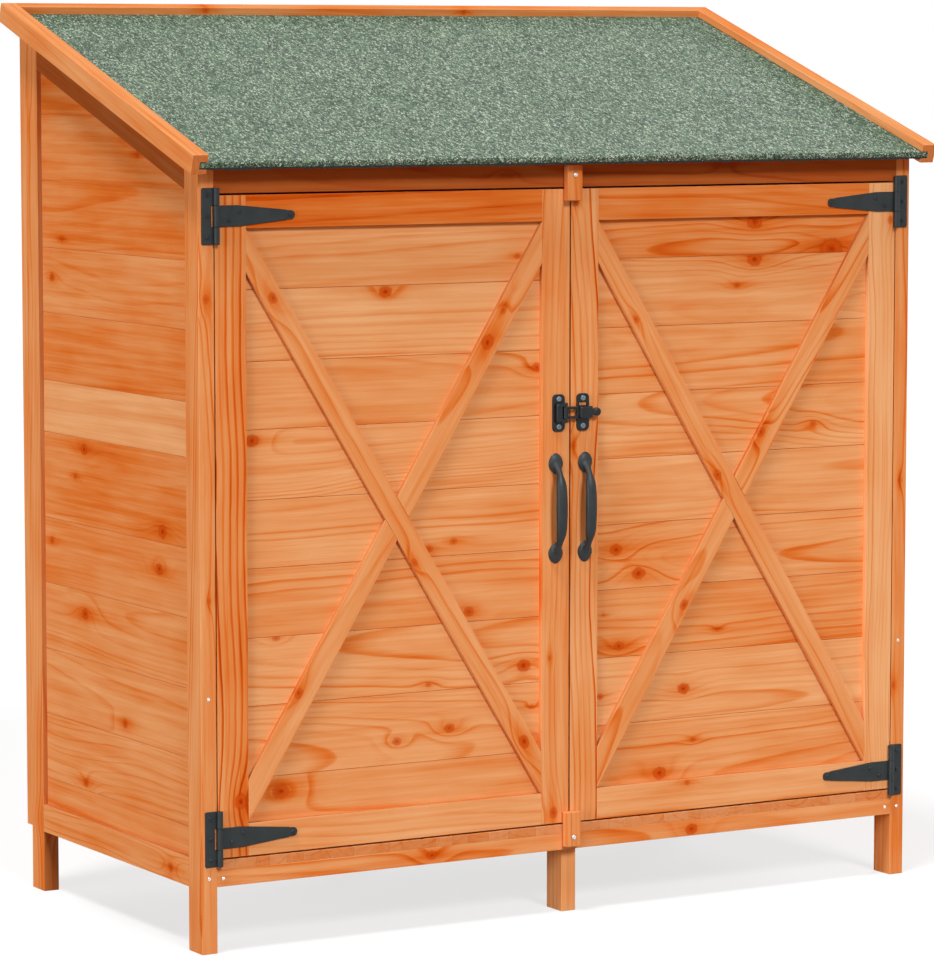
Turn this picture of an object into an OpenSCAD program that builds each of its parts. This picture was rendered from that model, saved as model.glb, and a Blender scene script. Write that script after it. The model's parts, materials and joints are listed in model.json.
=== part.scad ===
// Wooden tool shed with a felted lean-to roof and a pair of braced doors.
// Millimetres, +Z up, front towards -Y. The origin is on the ground, under the middle of the roof.

/* [Body] */
// Width over the corner posts
body_w = 1350; // [1000:10:1700]
// Depth over the corner posts
body_d = 643; // [500:1:850]
// Width of the timber stock, along X on a post
stock_w = 27; // [22:1:40]
// Depth of the timber stock, along Y on a post
stock_d = 47; // [36:1:70]
// Clear height under the front rail
leg_h = 106; // [60:1:200]
// Distance of the side rails' underside below that of the front rail
side_rail_lower = 4; // [0:1:20]
// Sideways offset of the middle legs
middle_leg_shift = 6; // [-40:1:40]
// Setback of the middle legs from the front and the back
middle_leg_setback = 12; // [0:1:30]
// Thickness of the floor boards
floor_t = 15; // [10:1:20]
// Thickness of the side wall boards
board_t = 12; // [8:1:15]
// Setback of the side wall boards from the outside of the posts
board_setback = 8; // [3:1:11]
// Thickness of the back wall
back_t = 20; // [12:1:30]

/* [Roof] */
// Slope of the roof in degrees
roof_slope = 18.4; // [10:0.1:28]
// Height of the board over the doors
fascia_h = 49; // [40:1:90]
// Height of the sloping side rails, square to the slope
side_top_rail_h = 56; // [40:1:80]
// Height of the rail at the top of the back
back_top_rail_h = 47; // [36:1:80]
// Length of the rake boards in front of the door plane, along the slope
roof_front = 34; // [15:1:80]
// Length of the roof behind the back wall, along the slope
back_overhang = 22; // [22:1:60]
// Width of a rake board
rake_w = 27; // [18:1:40]
// Depth of the groove in a rake board that takes the edge of the deck and the felt
rake_groove = 13; // [6:0.5:16]
// Depth of a rake board below the underside of the deck
rake_drop = 8; // [2:1:20]
// Thickness of the roof deck
deck_t = 9; // [6:1:15]
// Thickness of the felt
felt_t = 2.5; // [1.5:0.1:4]
// Height of the rake boards over the felt
rake_proud = 12.5; // [4:0.5:20]
// Thickness of the trim along the back edge of the roof
back_trim_t = 21; // [15:1:30]

/* [Doors] */
// Height of the door opening, from the floor to the fascia
opening_h = 1047; // [800:1:1300]
// Gap round each door
door_gap = 5; // [4:0.5:8]
// Thickness of a door's frame
door_t = 18; // [16:1:26]
// Width of a door's stiles
stile_w = 51; // [44:1:80]
// Height of a door's rails
door_rail_h = 50; // [40:1:80]
// Setback of a door's boards from its frame
panel_setback = 8; // [4:1:10]
// Width of the diagonal braces
brace_w = 36; // [20:1:60]

/* [Hinges] */
// Distance from a door's top or bottom to the middle of its hinge
hinge_inset = 30; // [25:1:80]
// Thickness of the hinge leaves
leaf_t = 2.5; // [1.5:0.1:4]
// Height of the plate on the post
plate_h = 88; // [70:1:120]
// Distance from the outside of the post to the plate
plate_margin = 5.5; // [2:0.5:10]
// Radius of the hinge knuckles
knuckle_r = 5; // [4:0.1:6]
// Radius of the hinge pins
hinge_pin_r = 2.5; // [1.5:0.1:3.2]
// Length of a strap from the hinge axis
strap_len = 139; // [100:1:220]
// Height of a strap at its root
strap_root_h = 33; // [24:1:40]
// Height of a strap at its tip
strap_tip_h = 14; // [10:1:20]
// Length of a strap's straight root from the hinge axis
strap_root_len = 39; // [20:1:60]
// Length of a strap's tip
strap_tip_len = 15; // [11:1:30]
// Height of the small shoulder between a strap's taper and its tip
strap_shoulder = 1; // [0.5:0.1:3]

/* [Latch and buttons] */
// Width of a turn button
button_w = 28; // [20:1:40]
// Length of a turn button
button_len = 58; // [54:1:60]
// Thickness of a turn button
button_t = 13; // [8:1:16]
// Lap of a turn button over the doors
button_lap = 17; // [8:1:22]
// Distance from a turn button's free end to its screw
button_pivot = 42; // [38:1:44]
// Radius of the turn buttons' screws
button_screw_r = 2.2; // [1.5:0.1:3]
// Height of the middle of the latch above the floor
latch_z = 680; // [560:1:760]
// Width of a latch plate
latch_plate_w = 23; // [20:1:27]
// Height of a latch plate
latch_plate_h = 61; // [52:1:80]
// Distance from a door's edge to its latch plate
latch_inset = 9; // [5:1:12]
// Height of the latch loop
latch_loop_h = 20; // [14:1:24]
// Length of the latch loop from its pin
latch_loop_len = 65; // [60:1:80]
// Width of the window in the latch loop
latch_window_w = 16; // [10:1:18]
// Height of the window in the latch loop
latch_window_h = 11; // [6:1:14]
// Height of the ears that hold the latch loop's pin
latch_ear_h = 6; // [4:0.5:9]
// Width of the thumb block on the latch loop
thumb_block_w = 24; // [18:1:32]
// Thickness of the thumb block
thumb_block_t = 10; // [6:1:14]
// Radius of the round knob at the end of the latch loop
thumb_knob_r = 7; // [5:0.5:9]

/* [Handles] */
// Distance between the middles of a handle's pads
handle_pitch = 146; // [110:1:180]
// Height of the middle of the handles above the floor
handle_z = 524; // [420:1:560]
// Reach of the handle's bow in front of its ends
handle_reach = 19; // [15:0.5:30]
// Radius of the handle's grip
grip_r = 9; // [5:0.5:10]
// Radius of the handle's pads
pad_r = 13; // [9:0.5:16]
// Thickness of the handle's pads
pad_t = 5; // [3:0.5:8]

/* [Hidden] */
$fn = 48;

WOOD = "#E4925C";
PALE_WOOD = "#E9A470";
FELT = "#6F8A76";
IRON = "#3C4142";
ZINC = "#B9BCBE";

// Clearance of a turning pin in its bore
pin_clearance = 0.1;
// Clearance between knuckles that share a pin, and behind a turning knuckle
knuckle_clearance = 0.5;
// Clearance behind a turn button
button_clearance = 1.5;
// Height of a screw's head
screw_head_t = 2.5;
// Clearance of the roof over the walls and beside the rake boards
roof_seat = 0.1;

// Places along X, from the middle of the shed
post_outer = body_w / 2;
post_inner = post_outer - stock_w;
door_outer = post_inner - door_gap;
door_inner = door_gap / 2;
hinge_x = post_inner - door_gap / 2;

// Heights
floor_top = leg_h + stock_w + floor_t;
side_rail_z = leg_h - side_rail_lower;
side_rail_top = side_rail_z + stock_d;
opening_top = floor_top + opening_h;
door_bottom = floor_top + door_gap;
door_top = opening_top - door_gap;
deck_z = opening_top + fascia_h;
rake_top = deck_t + felt_t + rake_proud;

// Half width of the deck and the felt, whose edges lie in the rake boards
deck_half_w = post_outer + rake_groove;

// Reach of the roof in front of the door plane and behind it sets the door plane's place
front_reach = roof_front * cos(roof_slope) + rake_top * sin(roof_slope);
roof_back = (body_d + back_t) / cos(roof_slope) + back_overhang;
back_reach = roof_back * cos(roof_slope) + rake_drop * sin(roof_slope);
front_y = (front_reach - back_reach) / 2;
back_y = front_y + body_d;
hinge_y = front_y - knuckle_r - knuckle_clearance / 2;

// Height of the timber under the deck at a distance behind the door plane
function deck_under(depth) = deck_z - roof_seat + depth * tan(roof_slope);

// An outline in Y and Z, extruded along X; its depths are counted from the door plane
module side_profile(x, width, outline) {
    translate([x, front_y, 0]) rotate([90, 0, 90]) linear_extrude(width) polygon(outline);
}

// A block between two corners
module block(low, high) {
    translate(low) cube(high - low);
}

// Children in the roof's own frame: X across, Y up the slope, Z square to it
module on_roof() {
    translate([0, front_y, deck_z]) rotate([roof_slope, 0, 0]) children();
}

// The mirror image, on the right, of a child that is drawn on the left
module right_side() {
    mirror([1, 0, 0]) children();
}

// A corner post on the left, cut off under the deck
module post(depth) {
    color(WOOD) side_profile(-post_outer, stock_w, [
        [depth, 0], [depth + stock_d, 0],
        [depth + stock_d, deck_under(depth + stock_d)], [depth, deck_under(depth)],
    ]);
}

module front_left_post() { post(0); }
module front_right_post() { right_side() post(0); }
module back_left_post() { post(body_d - stock_d); }
module back_right_post() { right_side() post(body_d - stock_d); }

// Legs under the middle of the front and back rails
module middle_legs() {
    for (depth = [middle_leg_setback, body_d - middle_leg_setback - stock_d])
        color(WOOD) translate([middle_leg_shift - stock_w / 2, front_y + depth, 0])
            cube([stock_w, stock_d, leg_h]);
}

// A rail of the floor frame, laid flat between the posts
module floor_rail(depth) {
    color(WOOD) block(
        [-post_inner, front_y + depth, leg_h],
        [post_inner, front_y + depth + stock_d, leg_h + stock_w]);
}

module front_bottom_rail() { floor_rail(0); }
module back_bottom_rail() { floor_rail(body_d - stock_d); }

// A rail on edge between a front and a back post
module side_bottom_rail() {
    color(WOOD) block(
        [-post_outer, front_y + stock_d, side_rail_z],
        [-post_inner, back_y - stock_d, side_rail_top]);
}

module left_bottom_rail() { side_bottom_rail(); }
module right_bottom_rail() { right_side() side_bottom_rail(); }

// A rail under the deck between the posts, its top bevelled to the slope
module top_cross_rail(depth, bottom) {
    color(WOOD) side_profile(-post_inner, 2 * post_inner, [
        [depth, bottom], [depth + stock_w, bottom],
        [depth + stock_w, deck_under(depth + stock_w)], [depth, deck_under(depth)],
    ]);
}

module fascia() { top_cross_rail(0, opening_top); }
module back_top_rail() {
    depth = body_d - stock_w;
    top_cross_rail(depth, deck_under(depth) - back_top_rail_h);
}

// Drop of the sloping side rail, measured upright
side_rail_drop = side_top_rail_h / cos(roof_slope);

module side_top_rail() {
    front = stock_d;
    back = body_d - stock_d;
    color(WOOD) side_profile(-post_outer, stock_w, [
        [front, deck_under(front) - side_rail_drop], [back, deck_under(back) - side_rail_drop],
        [back, deck_under(back)], [front, deck_under(front)],
    ]);
}

module left_top_rail() { side_top_rail(); }
module right_top_rail() { right_side() side_top_rail(); }

// The boards of a side wall, between the posts and the rails
module side_wall() {
    front = stock_d;
    back = body_d - stock_d;
    color(PALE_WOOD) side_profile(-post_outer + board_setback, board_t, [
        [front, side_rail_top], [back, side_rail_top],
        [back, deck_under(back) - side_rail_drop], [front, deck_under(front) - side_rail_drop],
    ]);
}

module left_wall() { side_wall(); }
module right_wall() { right_side() side_wall(); }

module back_wall() {
    color(PALE_WOOD) side_profile(-post_outer, body_w, [
        [body_d, leg_h], [body_d + back_t, leg_h],
        [body_d + back_t, deck_under(body_d + back_t)], [body_d, deck_under(body_d)],
    ]);
}

module floor() {
    color(PALE_WOOD) block(
        [-post_inner, front_y, leg_h + stock_w],
        [post_inner, back_y, floor_top]);
}

module roof_deck() {
    color(PALE_WOOD) on_roof() block(
        [-deck_half_w, felt_t - roof_front, 0],
        [deck_half_w, roof_back - back_trim_t, deck_t]);
}

// The felt covers the deck and turns down over its front edge
module roof_felt() {
    color(FELT) on_roof() {
        block([-deck_half_w, -roof_front, deck_t],
            [deck_half_w, roof_back - back_trim_t, deck_t + felt_t]);
        block([-deck_half_w, -roof_front, 0], [deck_half_w, felt_t - roof_front, deck_t + felt_t]);
    }
}

// A board beside the roof, with a groove from its front end that stops at the back trim
module rake() {
    inside = -post_outer - roof_seat;
    color(WOOD) on_roof() difference() {
        block([inside - rake_w, -roof_front, -rake_drop], [inside, roof_back, rake_top]);
        block([inside - rake_groove, -roof_front - 1, -roof_seat],
            [inside + 1, roof_back - back_trim_t + roof_seat, deck_t + felt_t + roof_seat]);
    }
}

module left_rake() { rake(); }
module right_rake() { right_side() rake(); }

module roof_back_trim() {
    color(WOOD) on_roof() block(
        [-post_outer, roof_back - back_trim_t, 0],
        [post_outer, roof_back, rake_top]);
}

// Heights of the middles of a door's hinges
hinge_heights = [door_bottom + hinge_inset, door_top - hinge_inset];

// A plate on the left post with its knuckles above and below the strap's, and the pin
module hinge_plate() {
    outer_h = (plate_h - strap_root_h) / 2 - knuckle_clearance;
    plate_x = plate_margin - post_outer;
    color(IRON) {
        difference() {
            block([plate_x, front_y - leaf_t, -plate_h / 2], [-hinge_x, front_y, plate_h / 2]);
            translate([-hinge_x, hinge_y, 0])
                cylinder(h = strap_root_h + 2 * knuckle_clearance,
                    r = knuckle_r + knuckle_clearance + leaf_t, center = true);
        }
        for (side = [-1, 1])
            translate([-hinge_x, hinge_y, side * (plate_h - outer_h) / 2])
                cylinder(h = outer_h, r = knuckle_r, center = true);
        translate([-hinge_x, hinge_y, 0]) cylinder(h = plate_h, r = hinge_pin_r, center = true);
    }
}

module hinge_plates() {
    for (z = hinge_heights) translate([0, 0, z]) hinge_plate();
}

module left_hinge_plates() { hinge_plates(); }
module right_hinge_plates() { right_side() hinge_plates(); }

// A tapered strap with a rounded tip, and its knuckle, in the door's plane
module hinge_strap() {
    taper_end = strap_len - strap_tip_len;
    taper_end_h = strap_tip_h / 2 + strap_shoulder;
    color(IRON) difference() {
        union() {
            translate([-hinge_x, front_y, 0]) rotate([90, 0, 0]) linear_extrude(leaf_t) {
                polygon([
                    [0, -strap_root_h / 2], [strap_root_len, -strap_root_h / 2],
                    [taper_end, -taper_end_h], [taper_end, taper_end_h],
                    [strap_root_len, strap_root_h / 2], [0, strap_root_h / 2],
                ]);
                translate([taper_end - strap_shoulder, -strap_tip_h / 2])
                    square([strap_tip_len - strap_tip_h / 2 + strap_shoulder, strap_tip_h]);
                translate([strap_len - strap_tip_h / 2, 0]) circle(strap_tip_h / 2);
            }
            translate([-hinge_x, hinge_y, 0])
                cylinder(h = strap_root_h, r = knuckle_r, center = true);
        }
        translate([-hinge_x, hinge_y, 0])
            cylinder(h = strap_root_h + 2, r = hinge_pin_r + pin_clearance, center = true);
    }
}

module hinge_straps() {
    for (z = hinge_heights) translate([0, 0, z]) hinge_strap();
}

// Clear opening of a left door's frame
frame_low = [-door_outer + stile_w, door_bottom + door_rail_h];
frame_high = [-door_inner - stile_w, door_top - door_rail_h];
frame_size = frame_high - frame_low;

module door_stiles() {
    for (x = [-door_outer, frame_high[0]])
        color(WOOD) block([x, front_y, door_bottom], [x + stile_w, front_y + door_t, door_top]);
}

module door_rails() {
    for (z = [door_bottom, frame_high[1]])
        color(WOOD) block([frame_low[0], front_y, z],
            [frame_high[0], front_y + door_t, z + door_rail_h]);
}

module door_panel() {
    color(PALE_WOOD) block(
        [frame_low[0], front_y + panel_setback, frame_low[1]],
        [frame_high[0], front_y + door_t, frame_high[1]]);
}

// Tilt of a brace whose upright ends stand in two corners of the opening, and the height of an end
brace_tilt = acos(brace_w / norm(frame_size)) - atan2(frame_size[0], frame_size[1]);
brace_end_h = brace_w / cos(brace_tilt);

// A brace across a door's opening, in X and Z; slant is 1 if it rises to the right
module brace_outline(slant) {
    foot_x = slant > 0 ? frame_low[0] : frame_high[0];
    head_x = slant > 0 ? frame_high[0] : frame_low[0];
    polygon([
        [foot_x, frame_low[1]], [foot_x, frame_low[1] + brace_end_h],
        [head_x, frame_high[1]], [head_x, frame_high[1] - brace_end_h],
    ]);
}

// Flat outlines in X and Z, as thick as the setback of the boards
module on_boards() {
    color(WOOD) translate([0, front_y + panel_setback, 0]) rotate([90, 0, 0])
        linear_extrude(panel_setback) children();
}

// The brace that falls to the right runs through, on both doors
module long_brace(slant) {
    on_boards() brace_outline(slant);
}

module short_braces(slant) {
    on_boards() difference() {
        brace_outline(-slant);
        brace_outline(slant);
    }
}

// A bowed pull handle on the middle of a stile
module handle() {
    x = -door_inner - stile_w / 2;
    half = handle_pitch / 2;
    bow_r = (half * half + handle_reach * handle_reach) / (2 * handle_reach);
    bow_angle = asin(half / bow_r);
    color(IRON) translate([x, front_y, floor_top + handle_z]) {
        for (side = [-1, 1]) translate([0, 0, side * half]) rotate([90, 0, 0])
            cylinder(h = pad_t, r = pad_r);
        intersection() {
            translate([0, bow_r - handle_reach - pad_t / 2, 0]) rotate([0, 90, 0])
                rotate([0, 0, -90 - bow_angle])
                    rotate_extrude(angle = 2 * bow_angle) translate([bow_r, 0]) circle(grip_r);
            translate([-pad_r, -handle_reach - pad_r - pad_t, -half - pad_r])
                cube([2 * pad_r, handle_reach + pad_r + pad_t, 2 * (half + pad_r)]);
        }
    }
}

// Plates of the latch
latch_plate_t = 3;
latch_y = front_y - latch_plate_t;
latch_pin_r = 2;
latch_knuckle_r = 4;
latch_pin_y = latch_y - latch_knuckle_r - knuckle_clearance;
latch_pin_x = -door_inner - latch_inset - latch_knuckle_r / 2;
latch_loop_t = 5;
latch_height = floor_top + latch_z;

// An upright plate with round ends, on a door that lies to the left of the meeting line
module latch_base() {
    straight = latch_plate_h - latch_plate_w;
    translate([-door_inner - latch_inset - latch_plate_w / 2, front_y, latch_height])
        rotate([90, 0, 0]) linear_extrude(latch_plate_t) {
            square([latch_plate_w, straight], center = true);
            for (side = [-1, 1]) translate([0, side * straight / 2]) circle(latch_plate_w / 2);
        }
}

module latch_plate() {
    color(IRON) {
        latch_base();
        for (side = [-1, 1])
            translate([latch_pin_x, 0,
                latch_height + side * (latch_loop_h / 2 + knuckle_clearance + latch_ear_h / 2)]) {
                translate([0, latch_pin_y, 0])
                    cylinder(h = latch_ear_h, r = latch_knuckle_r, center = true);
                translate([-latch_knuckle_r, latch_pin_y, -latch_ear_h / 2])
                    cube([2 * latch_knuckle_r, latch_y - latch_pin_y, latch_ear_h]);
            }
        translate([latch_pin_x, latch_pin_y, latch_height])
            cylinder(h = latch_loop_h + 2 * latch_ear_h, r = latch_pin_r, center = true);
    }
}

// The keeper's stud, which the loop drops over
stud_r = 3;
stud_x = door_inner + latch_inset + latch_plate_w / 2;
stud_clearance = 1.5;

module latch_keeper() {
    color(IRON) {
        right_side() latch_base();
        translate([stud_x, latch_y, latch_height]) rotate([90, 0, 0])
            cylinder(h = latch_plate_t, r = stud_r);
    }
}

// A flat loop with a window over the meeting line, and a thumb block with a pocket for the stud
// and a round knob
module latch_loop() {
    half_h = latch_loop_h / 2;
    block_start = stud_x - latch_pin_x - latch_plate_w / 2;
    knob_x = latch_loop_len - thumb_knob_r;
    color(IRON) difference() {
        union() {
            translate([latch_pin_x, latch_pin_y + latch_loop_t / 2, latch_height]) rotate([90, 0, 0]) {
                linear_extrude(latch_loop_t)
                    translate([0, -half_h]) square([block_start + 1, latch_loop_h]);
                linear_extrude(thumb_block_t) {
                    translate([block_start, -half_h]) square([thumb_block_w, latch_loop_h]);
                    translate([block_start, -thumb_knob_r])
                        square([knob_x - block_start, 2 * thumb_knob_r]);
                    translate([knob_x, 0]) circle(thumb_knob_r);
                }
            }
            translate([latch_pin_x, latch_pin_y, latch_height])
                cylinder(h = latch_loop_h, r = latch_knuckle_r, center = true);
        }
        translate([latch_pin_x, latch_pin_y, latch_height])
            cylinder(h = latch_loop_h + 2, r = latch_pin_r + pin_clearance, center = true);
        translate([0, latch_pin_y, latch_height])
            cube([latch_window_w, 2 * latch_loop_t, latch_window_h], center = true);
        translate([stud_x, latch_pin_y + latch_loop_t / 2 + 1, latch_height]) rotate([90, 0, 0])
            cylinder(h = latch_loop_t / 2 + 2, r = stud_r + stud_clearance);
    }
}

// Heights of the screws of the turn buttons
top_button_z = door_top - button_lap + button_pivot;
bottom_button_z = door_bottom + button_lap - button_pivot;

// A turn button that hangs from its screw
module button(z, up) {
    free_end = up ? -(button_len - button_pivot) : -button_pivot;
    color(WOOD) translate([0, front_y - button_clearance, z]) rotate([90, 0, 0])
        linear_extrude(button_t) difference() {
            translate([-button_w / 2, free_end]) square([button_w, button_len]);
            circle(button_screw_r + pin_clearance);
        }
}

module top_button() { button(top_button_z, false); }
module bottom_button() { button(bottom_button_z, true); }

module button_screws() {
    reach = button_clearance + button_t;
    for (z = [bottom_button_z, top_button_z])
        color(ZINC) translate([0, front_y, z]) rotate([90, 0, 0]) {
            cylinder(h = reach + knuckle_clearance, r = button_screw_r);
            translate([0, 0, reach + knuckle_clearance])
                cylinder(h = screw_head_t, r = 2 * button_screw_r);
        }
}

module left_door_stiles() { door_stiles(); }
module left_door_rails() { door_rails(); }
module left_door_panel() { door_panel(); }
module left_door_long_brace() { long_brace(-1); }
module left_door_short_braces() { short_braces(-1); }
module left_door_straps() { hinge_straps(); }
module left_handle() { handle(); }
module right_door_stiles() { right_side() door_stiles(); }
module right_door_rails() { right_side() door_rails(); }
module right_door_panel() { right_side() door_panel(); }
module right_door_long_brace() { right_side() long_brace(1); }
module right_door_short_braces() { right_side() short_braces(1); }
module right_door_straps() { right_side() hinge_straps(); }
module right_handle() { right_side() handle(); }

front_left_post();
front_right_post();
back_left_post();
back_right_post();
middle_legs();
front_bottom_rail();
back_bottom_rail();
left_bottom_rail();
right_bottom_rail();
fascia();
back_top_rail();
left_top_rail();
right_top_rail();
left_wall();
right_wall();
back_wall();
floor();
roof_deck();
roof_felt();
left_rake();
right_rake();
roof_back_trim();
left_hinge_plates();
right_hinge_plates();
button_screws();
top_button();
bottom_button();
left_door_stiles();
left_door_rails();
left_door_panel();
left_door_long_brace();
left_door_short_braces();
left_door_straps();
left_handle();
latch_plate();
latch_loop();
right_door_stiles();
right_door_rails();
right_door_panel();
right_door_long_brace();
right_door_short_braces();
right_door_straps();
right_handle();
latch_keeper();
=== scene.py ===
# %% [markdown]
# # Dressing a wooden tool shed
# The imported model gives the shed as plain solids, each in its real place. This lesson dresses them:
# sawn fir boards with grain and knots, felt with stone granules, and black iron for the hinges, the
# latch and the pulls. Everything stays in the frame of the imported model, in metres, front towards -Y.

# %% Load the frame
import json
import math
import random

import bmesh
import bpy
from mathutils import Matrix, Vector

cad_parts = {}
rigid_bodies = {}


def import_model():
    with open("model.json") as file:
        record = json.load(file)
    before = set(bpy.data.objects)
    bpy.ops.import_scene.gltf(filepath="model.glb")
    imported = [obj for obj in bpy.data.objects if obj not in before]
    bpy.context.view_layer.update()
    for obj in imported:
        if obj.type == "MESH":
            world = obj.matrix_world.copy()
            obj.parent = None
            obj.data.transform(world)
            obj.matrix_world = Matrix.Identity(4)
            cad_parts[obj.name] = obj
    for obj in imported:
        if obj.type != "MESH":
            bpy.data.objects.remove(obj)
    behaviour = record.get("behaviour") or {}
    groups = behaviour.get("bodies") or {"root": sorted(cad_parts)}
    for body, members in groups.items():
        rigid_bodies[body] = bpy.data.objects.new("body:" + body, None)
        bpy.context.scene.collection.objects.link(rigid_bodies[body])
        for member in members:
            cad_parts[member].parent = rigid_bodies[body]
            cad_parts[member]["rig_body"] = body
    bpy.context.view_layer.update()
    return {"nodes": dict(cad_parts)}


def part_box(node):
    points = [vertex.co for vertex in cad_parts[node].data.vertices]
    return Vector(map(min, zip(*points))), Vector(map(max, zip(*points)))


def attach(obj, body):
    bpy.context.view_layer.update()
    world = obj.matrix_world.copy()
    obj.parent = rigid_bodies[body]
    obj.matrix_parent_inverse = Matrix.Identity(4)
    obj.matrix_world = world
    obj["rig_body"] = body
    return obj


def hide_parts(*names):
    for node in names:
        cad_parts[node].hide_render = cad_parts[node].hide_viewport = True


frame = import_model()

MM = 0.001
chance = random.Random(1847)


def corners_mm(node):
    """Lowest and highest corner of a node, in millimetres."""
    low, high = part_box(node)
    return low / MM, high / MM


# %% [markdown]
# ## The camera
# The photograph was taken from the left, a little above the roof's front edge, through a long lens.
# Its place comes from fitting the corners of the posts and the lines of the rails. A camera without
# shift keeps the shed in the middle when it is looked at from other sides.

# %% Camera
LENS_MM = 160.56
CAMERA_PLACE = (-3.6345, -6.2603, 1.4175)
CAMERA_YAW = math.radians(30.089)
CAMERA_PITCH = math.radians(5.748)

camera_data = bpy.data.cameras.new("photo_camera")
camera_data.sensor_width = 36
camera_data.lens = LENS_MM
camera = bpy.data.objects.new("photo_camera", camera_data)
camera.location = CAMERA_PLACE
camera.rotation_euler = (math.pi / 2 - CAMERA_PITCH, 0, -CAMERA_YAW)
bpy.context.scene.collection.objects.link(camera)
bpy.context.scene.camera = camera
print("camera lens:", LENS_MM, "mm")

# %% [markdown]
# ## Shader maths as Python
# A finish is easier to read as an expression than as a page of node links. This small class wraps a
# socket: plus, minus, times and divide add Math nodes, and one method makes every other node.

# %% A socket that takes part in expressions
class Shade:
    """A socket of a finish, used as a value."""

    def __init__(self, tree, socket=None):
        self.tree = tree
        self.socket = socket

    def node(self, kind, settings=None, sockets=None, out=0):
        made = self.tree.nodes.new(kind)
        for name, value in (settings or {}).items():
            if name == "stops":
                shape_ramp(made.color_ramp, value)
            else:
                setattr(made, name, value)
        for name, value in (sockets or {}).items():
            if isinstance(value, Shade):
                self.tree.links.new(value.socket, made.inputs[name])
            else:
                made.inputs[name].default_value = value
        return Shade(self.tree, made.outputs[out])

    def math(self, operation, *values):
        return self.node("ShaderNodeMath", {"operation": operation}, dict(enumerate(values)))

    def sibling(self, name):
        """Another output of the same node."""
        return Shade(self.tree, self.socket.node.outputs[name])

    def __add__(self, other):
        return self.math("ADD", self, other)

    def __radd__(self, other):
        return self.math("ADD", other, self)

    def __sub__(self, other):
        return self.math("SUBTRACT", self, other)

    def __rsub__(self, other):
        return self.math("SUBTRACT", other, self)

    def __mul__(self, other):
        return self.math("MULTIPLY", self, other)

    def __rmul__(self, other):
        return self.math("MULTIPLY", other, self)

    def __truediv__(self, other):
        return self.math("DIVIDE", self, other)

    def __rtruediv__(self, other):
        return self.math("DIVIDE", other, self)


# %% Helpers for colours, ramps and vectors
def rgb(red, green, blue):
    """A colour as it is read off a screen, turned into Blender's linear values."""
    shares = [value / 255 for value in (red, green, blue)]
    linear = [s / 12.92 if s <= 0.04045 else ((s + 0.055) / 1.055) ** 2.4 for s in shares]
    return (*linear, 1.0)


def shape_ramp(ramp, stops):
    """Puts the stops on a colour ramp; a plain number is a grey."""
    while len(ramp.elements) < len(stops):
        ramp.elements.new(0.5)
    for element, (place, colour) in zip(ramp.elements, stops):
        element.position = place
        element.color = colour if isinstance(colour, tuple) else (colour, colour, colour, 1.0)


def ramp(value, stops, interpolation="LINEAR"):
    made = value.node("ShaderNodeValToRGB", {"stops": stops}, {"Fac": value})
    made.socket.node.color_ramp.interpolation = interpolation
    return made


def split(vector):
    """The three numbers of a vector."""
    parts = vector.node("ShaderNodeSeparateXYZ", sockets={0: vector})
    return [Shade(vector.tree, socket) for socket in parts.socket.node.outputs]


def mixed(share, first, second):
    """A colour between two colours."""
    settings = {"data_type": "RGBA", "clamp_factor": True}
    return share.node("ShaderNodeMix", settings, {0: share, 6: first, 7: second}, out=2)


def noise(vector, scale=1.0, detail=2.0, roughness=0.5):
    sockets = {"Vector": vector, "Scale": scale, "Detail": detail, "Roughness": roughness}
    return vector.node("ShaderNodeTexNoise", sockets=sockets)


def new_finish(name):
    """A material, its tree as a Shade, and its shader."""
    material = bpy.data.materials.new(name)
    material.use_nodes = True
    tree = Shade(material.node_tree)
    return material, tree, material.node_tree.nodes["Principled BSDF"]


def feed(shader, **values):
    """Links values that change over the surface to the shader's sockets."""
    for name, value in values.items():
        value.tree.links.new(value.socket, shader.inputs[name.replace("_", " ")])


# %% [markdown]
# ## Stained fir
# A board is cut out of a trunk, so its figure is the trunk's growth rings, seen where the saw passed.
# A picture of wood would show the same board again and again. Instead each board carries its own
# lengthwise coordinates and the place of its trunk's heart, and the rings are worked out in space:
# arches on flat-sawn faces, straight lines on the edges, curves on the end grain. A knot pushes the
# rings aside, as a branch does.

# %% Coordinates and rings
fir, fir_tree, fir_shader = new_finish("stained_fir")


def carried(tree, name):
    """A vector that the mesh carries."""
    return tree.node("ShaderNodeAttribute", {"attribute_name": name}, out="Vector")


grain_along, grain_across, grain_depth = split(carried(fir_tree, "grain"))
board_seed, board_tone, board_lean = split(carried(fir_tree, "look"))
heart_across, heart_depth, ring_gap = split(carried(fir_tree, "heart"))
# The cut vector holds end grain, bevelled edges, which turn paler from wear and a painted highlight, and
# the share of painted shade.
end_grain, worn_and_highlit_edge, painted_shade = split(carried(fir_tree, "cut"))
line_strength = split(carried(fir_tree, "figure"))[0]


def wander(along, across, seed, depth_seed=0, detail=2.0, roughness=0.5):
    """Noise about zero in a board's own coordinates; the seeds tell the boards apart."""
    place = fir_tree.node("ShaderNodeCombineXYZ", sockets={
        "X": grain_along * along + board_seed * seed, "Y": grain_across * across,
        "Z": grain_depth * across + board_seed * depth_seed})
    return noise(place, detail=detail, roughness=roughness) - 0.5


slow_bend = wander(1.7, 6, 90, depth_seed=31, detail=1.0)
ripple = wander(8, 26, 57)
heart_x = grain_across - heart_across + slow_bend * 0.06 + ripple * 0.006
heart_z = grain_depth + heart_depth + grain_along * board_lean
ring_distance = fir_tree.math("SQRT", heart_x * heart_x + heart_z * heart_z)

# %% Knots
KNOT_NAMES = ("knot_a", "knot_b", "knot_c")
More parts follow.
